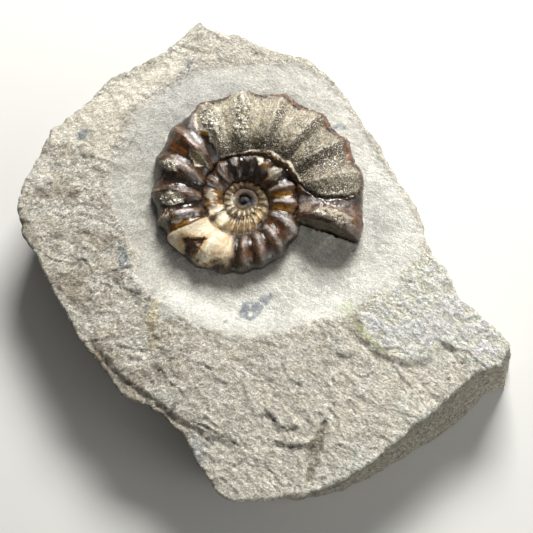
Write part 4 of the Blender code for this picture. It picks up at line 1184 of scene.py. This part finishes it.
def shellTint(s):
    # colour of the shell, one layer over the other
    tones = ammonite["tones"]
    onRib = np.clip(0.15 + 0.75 * s.swell + 0.35 * s.wave, 0, 1)
    tint = np.tile(tones["valley"], (len(s.x), 1))

    def paint(name, share):
        nonlocal tint
        tint = mixed(tint, tones[name], share)

    paint("rib", onRib)
    paint("rust", 0.45 * smoothStep(s.fold, 0.05, 0.5) * (1 - onRib))
    # painted shade: the deep valleys between the ribs are darker
    tint = tint * (1 - 0.52 * s.deep)[:, None]
    paint("dark", 0.75 * (1 - s.top))
    paint("ring", 0.85 * s.ringWhorl)
    # near-black shell on top of the second whorl and in the listed valleys, partly painted shade in the deep
    # valleys
    paint("dark", 0.9 * shellArea(s, "darkValleys", 0.4))
    paint("amber", shellArea(s, "ambers", 0.25))
    paint("rust", 0.6 * shellArea(s, "rusts", 0.6))
    # pale lilac on the rib crests: partly the shell's own colour, partly painted reflection
    for outline, share in ammonite["lilacsAndSheens"]:
        paint("lilac", share * shellPatch(s, outline, 0.28))
    # painted highlight: a thin pale line along the rib crests of the outer whorl
    crestHighlight = (1 - s.mould) * np.exp(-((s.fromCrest - 0.07) / 0.035) ** 2) * smoothStep(s.across, 0.15, 0.35)
    paint("lilac", 0.40 * crestHighlight * s.outerWhorl * smoothStep(s.fold + 0.5 * s.grit, -0.2, 0.3))
    paint("pale", 0.5 * shellArea(s, "pinkSpeckle", 0.5) * smoothStep(s.grit, -0.1, 0.4))
    paint("cream", s.creams)
    paint("facet", 0.9 * shellArea(s, "greyFacet", 0.25))
    # pale inner whorls round the dark hollow in the middle
    paleRibs = shellArea(s, "paleRibs", 0.4)
    paint("gold", 0.9 * paleRibs)
    paint("cream", 0.45 * paleRibs * smoothStep(s.swell + 0.5 * s.fold, 0.3, 1.0))
    paint("cream", 0.7 * shellArea(s, "ringCream", 0.3) * smoothStep(s.swell + 0.4 * s.fold, 0.15, 0.85))
    paint("ring", 0.6 * smoothStep(-s.fromMiddle, -2.9, -2.3))
    paint("pit", 0.75 * shellArea(s, "middleBrown", 0.35))
    # painted shade: the upper right of the middle is painted near black
    paint("hollow", 0.75 * shellArea(s, "middleShade", 0.35))
    paint("hollow", smoothStep(-s.fromMiddle + 0.4 * s.fold, -1.9, -1.1))
    paint("crust", 0.8 * shellArea(s, "crescent", 0.25))
    paint("spot", patch(s.x, s.y, onPlan(ammonite["blueSpot"]), 0.2))
    # painted shadow along the lower outer edge of the coil
    paint("dull", 0.7 * shellArea(s, "lowShadow", 0.6) * s.outerWhorl)
    # white calcite, warmer in random patches and towards its edge, and painted warmer and darker in its
    # hollows between the ribs as painted shade
    paint("calcite", s.calcite)
    depth = np.maximum(*(depthInside(s.raggedX, s.raggedY, onPlan(ammonite[key]))
                         for key in ("calcite", "calciteTip")))
    warmthAndShade = 0.45 * smoothStep(s.wave + 0.5 * s.fold, -0.05, 0.45) + 0.45 * (1 - s.swell)
    warmthAndShade += 0.8 * smoothStep(-depth, -1.3, 0.0)
    paint("calciteWarm", s.calcite * np.clip(warmthAndShade - 0.2, 0, 0.9))
    paint("amber", 0.4 * shellArea(s, "mottled", 0.8) * smoothStep(s.fold + 0.6 * s.grit, -0.05, 0.4))
    paint("pit", s.pit)
    paint("pit", 0.8 * s.chips * smoothStep(s.fold, -0.1, 0.25))
    paint("hole", s.hole * (0.8 + 0.4 * s.grit))
    tint = mixed(tint, mouldTint(s), s.mould)
    paint("crust", 0.9 * s.crestLine * smoothStep(s.grit + s.fold, -0.3, 0.3))
    paint("crust", np.maximum(s.crust * (0.6 + 0.5 * s.grit), s.oval * (0.75 + 0.4 * s.grit)).clip(0, 1))
    for key, name, share in (("rustLines", "rust", 0.85), ("paleLines", "pale", 0.8)):
        for path, width in ammonite[key]:
            paint(name, share * shellLine(s, path, width))
    # the shell's broken rim round the mould, and the flake band with a painted highlight along its edge
    paint("rim", s.rim * s.top * smoothStep(s.wave + 0.6 * s.fold, -0.15, 0.35))
    paint("pale", 0.3 * s.rim * s.top * smoothStep(s.grit, 0.25, 0.6))
    band = np.tile(tones["band"], (len(s.x), 1))
    band = mixed(band, tones["bandEdge"], s.edgeShine * (0.7 + 0.5 * s.fold).clip(0, 1))
    band = mixed(band, tones["rust"], 0.5 * smoothStep(s.fold, 0.0, 0.4) * (1 - s.edgeShine))
    tint = mixed(tint, band, s.band)
    paint("dark", np.clip(1.15 * s.crack, 0, 1))
    # painted shade: darker in the seam, and down the outer edge where the whorl turns away from the light
    tint = tint * (1 - 0.55 * np.exp(-((s.across / 0.05) ** 2)) * (1 - s.band))[:, None]
    edge = (1 - s.mould - s.calcite * 0.6) * s.outerWhorl
    edge *= smoothStep(np.where(s.top > 0.5, s.across, 1.0), 0.80, 0.98)
    return np.clip(tint * (1 - 0.5 * edge)[:, None], 0, 1)


def shellMasks(s):
    # what the material reads: dull and smooth shell, and the patches with a grain of their own
    matt = 0.9 * s.crust + 0.9 * s.oval + 0.62 * s.mould + 0.35 * s.calcite + 0.75 * s.ringWhorl
    matt = np.clip(matt + 0.8 * (s.pit + s.chips + s.hole), 0, 1)
    sleek = np.maximum.reduce([
        shellArea(s, "darkValleys", 0.4) * (1 - 0.8 * smoothStep(s.swell, 0.5, 0.9)),
        0.6 * s.deep * (1 - s.mould),
        0.6 * shellArea(s, "ambers", 0.25),
        0.8 * smoothStep(s.across, 0.85, 1.0) * s.outerWhorl,
    ])
    sleek = np.maximum(sleek * (1 - s.calcite), s.band * (1 - s.edgeShine))
    return {
        "matt": np.maximum(matt, smoothStep(-s.fromMiddle, -2.9, -2.2)),
        "sleek": sleek * smoothStep(s.fromMiddle, 2.8, 3.4),
        "mould": s.mould, "speckle": np.maximum(s.speckle, 0.9 * shellArea(s, "darkSpeckles", 0.8)),
        "crust": np.maximum(s.crust, s.oval), "calcite": np.maximum(s.calcite, 0.9 * s.creams),
        "growth": s.angle * 0.45, "across": s.across * 1.6,
    }


def mouthFill(points, above, below, edge):
    # the broken mouth: a plane across the whorl, filled with a fine mesh
    steps = ammonite["steps"]
    loop = above[0] + edge[0][1:-1] + below[0][::-1] + edge[steps][1:-1][::-1]
    ray = math.radians(coil["mouth"])
    centre = np.array([*coil["centre"], 0.0])
    outwards = np.array([math.cos(ray), math.sin(ray), 0])
    forwards = np.array([math.sin(ray), -math.cos(ray), 0])
    loopPoints = points[loop] - centre
    radius, level = loopPoints @ outwards, loopPoints[:, 2]
    draw = np.random.default_rng(ammonite["mouthSeed"])
    low, high = (radius.min(), level.min()), (radius.max(), level.max())
    x, y = hexagonalPoints(low, high, ammonite["mouthSpacing"], 0.2, draw)
    depth = depthInside(x, y, list(zip(radius.tolist(), level.tolist())))
    x, y, depth = x[depth > 0.2], y[depth > 0.2], depth[depth > 0.2]
    swell = smoothStep(depth, 0.0, 1.2) * (0.45 * lumps(x, y, 3.0, 23.0) - 0.25)
    swell += smoothStep(depth, 0.0, 0.5) * 0.10 * lumps(x, y, 0.8, 29.0, 2)
    inner = centre + x[:, None] * outwards + y[:, None] * (0, 0, 1.0) + swell[:, None] * forwards
    numbers = loop + list(range(len(points), len(points) + len(x)))
    faces = [tuple(numbers[i] for i in face) for face in filledOutline(radius, level, x, y)]
    shade = np.tile(ammonite["tones"]["mouth"], (len(x), 1)) * (1 + 0.35 * lumps(x, y, 2.5, 31.0))[:, None]
    return inner, faces, np.clip(shade, 0, 1)


def buildAmmonite():
    places, above, below, edge = flankColumns()
    spots = shellSpots(places)
    points = shellPoints(spots)
    tint, masks = shellTint(spots), shellMasks(spots)
    faces = []
    for grid in (above, below, edge):
        for left, right in zip(grid, grid[1:]):
            faces += stitched(left, right)
    mouth, mouthFaces, mouthTint = mouthFill(points, above, below, edge)
    faces += mouthFaces
    points, tint = np.concatenate([points, mouth]), np.concatenate([tint, mouthTint])
    masks = {key: np.append(values, np.full(len(mouth), ammonite["mouthMatt"] if key == "matt" else 0.0))
             for key, values in masks.items()}
    # the hollow in the middle ends in a point on each side
    middleX, middleY = coilMiddle(360.0 * coil["whorls"])
    for side, grid in ((1, above), (-1, below)):
        pit = len(points)
        points = np.concatenate([points, [(middleX, middleY, coil["level"] + side * ammonite["pitLevel"])]])
        tint = np.concatenate([tint, [ammonite["tones"]["hollow"]]])
        masks = {key: np.append(values, 0.0) for key, values in masks.items()}
        ring = [column[0] for column in grid[-ammonite["steps"] - 1:]]
        faces += [(pit, a, b) for a, b in zip(ring, ring[1:])]
        faces.append((pit, *grid[-1]))
    piece = pieceFrom("ammonite_shell", points, faces, masks, tint, fossilShell())
    turnOutwards(piece)
    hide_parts("ammonite")
    print("ammonite:", len(points), "points,", sum(len(f) - 2 for f in faces), "triangles")
    buildCrystals(piece)


crystals = {
    "count": 1024, "sizes": (0.13, 0.44), "sunk": 0.35, "seed": 12, "refraction": 1.6,
    "goldenBelow": 9.0, "golden": (0.72, 0.60, 0.42), "goldenSize": 0.62,  # those at the mouth are stained
    "shades": [tone(240, 236, 224), tone(208, 200, 182), tone(156, 145, 122), tone(220, 204, 164)],
    "shadeShares": (0.42, 0.3, 0.14, 0.14),
}


def buildCrystals(shell):
    # blunt grains of calcite, grown together on the crusts and pressed into the shell under them
    draw = np.random.default_rng(crystals["seed"])
    shellTree = bvhtree.BVHTree.FromPolygons([v.co / mm for v in shell.data.vertices],
                                             [tuple(f.vertices) for f in shell.data.polygons])
    blank = [Vector(v) for v in ((1, 0, 0), (-1, 0, 0), (0, 1, 0), (0, -1, 0), (0, 0, 1), (0, 0, -1))]
    sides = [(0, 2, 4), (2, 1, 4), (1, 3, 4), (3, 0, 4), (2, 0, 5), (1, 2, 5), (3, 1, 5), (0, 3, 5)]
    outlines = [onPlan(spots) for spots in ammonite["crusts"] + [ammonite["oval"]]]
    corners = [(np.min(outline, axis=0), np.max(outline, axis=0)) for outline in outlines]
    rooms = np.array([np.prod(high - low) for low, high in corners])
    points, faces, tint = [], [], []
    small, large = crystals["sizes"]
    for outline, (low, high), room in zip(outlines, corners, rooms):
        tries = int(crystals["count"] * room / rooms.sum())
        x, y = draw.uniform(low[0], high[0], tries), draw.uniform(low[1], high[1], tries)
        keep = depthInside(x, y, outline) + 0.25 * lumps(x, y, 0.9, 3.0, 2) > 0.12
        for px, py in zip(x[keep], y[keep]):
            spot = shellTree.ray_cast(Vector((px, py, 60)), Vector((0, 0, -1)))[0]  # from well above
            if not spot:
                continue
            golden = py < crystals["goldenBelow"]
            size = small + (large - small) * draw.uniform() ** 2
            size *= crystals["goldenSize"] if golden else 1.0
            spin = Euler(draw.uniform(0, 6.28, 3)).to_matrix()
            stretch = Vector(draw.uniform(0.7, 1.35, 3)) * size
            spot = spot - Vector((0, 0, crystals["sunk"] * size))
            faces += [tuple(len(points) + i for i in side) for side in sides]
            points += [tuple(spin @ (corner * stretch) + spot) for corner in blank]
            shade = np.array(crystals["shades"][draw.choice(4, p=crystals["shadeShares"])])
            tint += [shade * crystals["golden"] if golden else shade] * len(blank)
    points, tint = np.array(points), np.array(tint)
    piece = pieceFrom("calcite_crystals", points, faces, {}, tint, crystal())
    piece.data.polygons.foreach_set("use_smooth", [False] * len(faces))
    print("crystals:", len(points) // len(blank))


def crystal():
    material, tree, shader = freshMaterial("calcite crystal")
    fine = grain(tree, millimetres(tree), 0.12, rough=0.7)
    colour = shadedTint(tree, contrast(tree, fine, 0.3, 0.7, 0.72, 1.15))
    tree.links.new(colour, shader.inputs["Base Color"])
    tree.links.new(between(tree, fine, 0.16, 0.45), shader.inputs["Roughness"])
    shader.inputs["IOR"].default_value = crystals["refraction"]
    bumps(tree, shader, [(fine, 0.04, 0.6)])
    return material


def turnOutwards(piece):
    # all faces of the closed shell look outwards
    shape = bmesh.new()
    shape.from_mesh(piece.data)
    bmesh.ops.recalc_face_normals(shape, faces=shape.faces)
    shape.to_mesh(piece.data)
    shape.free()


def fossilShell():
    material, tree, shader = freshMaterial("fossil shell")
    tones = ammonite["tones"]
    names = ("matt", "mould", "crust", "calcite", "speckle", "sleek")
    matt, mould, crust, calcite, speckle, sleek = (mask(tree, name) for name in names)
    places = millimetres(tree)
    cloud = grain(tree, places, 1.5, detail=5.0, rough=0.6, twist=0.4)
    fine = grain(tree, places, 0.34, detail=4.0, rough=0.65)
    speck = grain(tree, places, 0.15, detail=2.0, rough=0.7)
    facets = add(tree, "TexVoronoi", {"Vector": places, "Scale": 1 / 0.34}).outputs["Distance"]
    # growth lines run across the whorl
    lineSpots = add(tree, "CombineXYZ", {"X": mask(tree, "growth"), "Y": mask(tree, "across")}).outputs[0]
    growth = grain(tree, lineSpots, 1.0, rough=0.65)
    gritty = mixedValue(tree, mould, 1.0, contrast(tree, speck, 0.34, 0.66, 0.66, 1.26))
    shade = product(tree, contrast(tree, cloud, 0.32, 0.68, 0.60, 1.42),
                    contrast(tree, fine, 0.30, 0.70, 0.66, 1.38),
                    contrast(tree, growth, 0.38, 0.62, 0.74, 1.24), gritty)
    colour = shadedTint(tree, mixedValue(tree, product(tree, calcite, 0.7), shade, 1.0))
    # pits, olive grains and glints in the mould, then white and dark grains in the crusts
    pits = step(tree, maths(tree, "ADD", fine, product(tree, speckle, 0.11)), 0.58, 0.66)
    glint = step(tree, grain(tree, places, 1 / 3.6, rough=0.5), 0.54, 0.62)
    for share, name in (
            (product(tree, pits, mould, 0.75), "mouldPit"),
            (product(tree, step(tree, cloud, 0.50, 0.66), mould, 0.35), "olive"),
            (product(tree, glint, mould, between(tree, speckle, 0.46, 0.86)), "glint"),
            (product(tree, crust, step(tree, facets, 0.42, 0.20)), "crustLight"),
            (product(tree, crust, step(tree, fine, 0.60, 0.70), 0.5), "crustShade")):
        colour = blend(tree, share, colour, (*tones[name], 1))
    tree.links.new(colour, shader.inputs["Base Color"])
    gloss = mixedValue(tree, matt, between(tree, cloud, 0.15, 0.36), between(tree, fine, 0.38, 0.72))
    tree.links.new(mixedValue(tree, sleek, gloss, 0.15), shader.inputs["Roughness"])
    shader.inputs["IOR"].default_value = ammonite["refraction"]
    uneven = between(tree, sleek, 1.0, 0.25)
    bumps(tree, shader, [
        (cloud, 0.20, product(tree, between(tree, calcite, 0.6, 0.2), uneven)),
        (growth, 0.20, product(tree, between(tree, matt, 0.8, 0.2), uneven)),
        (fine, 0.22, product(tree, between(tree, matt, 0.35, 1.0), uneven)),
        (facets, 0.30, crust),
        (speck, 0.09, product(tree, between(tree, matt, 0.30, 0.9), uneven)),
    ])
    return material


buildStudio()
buildSlab()
buildAmmonite()
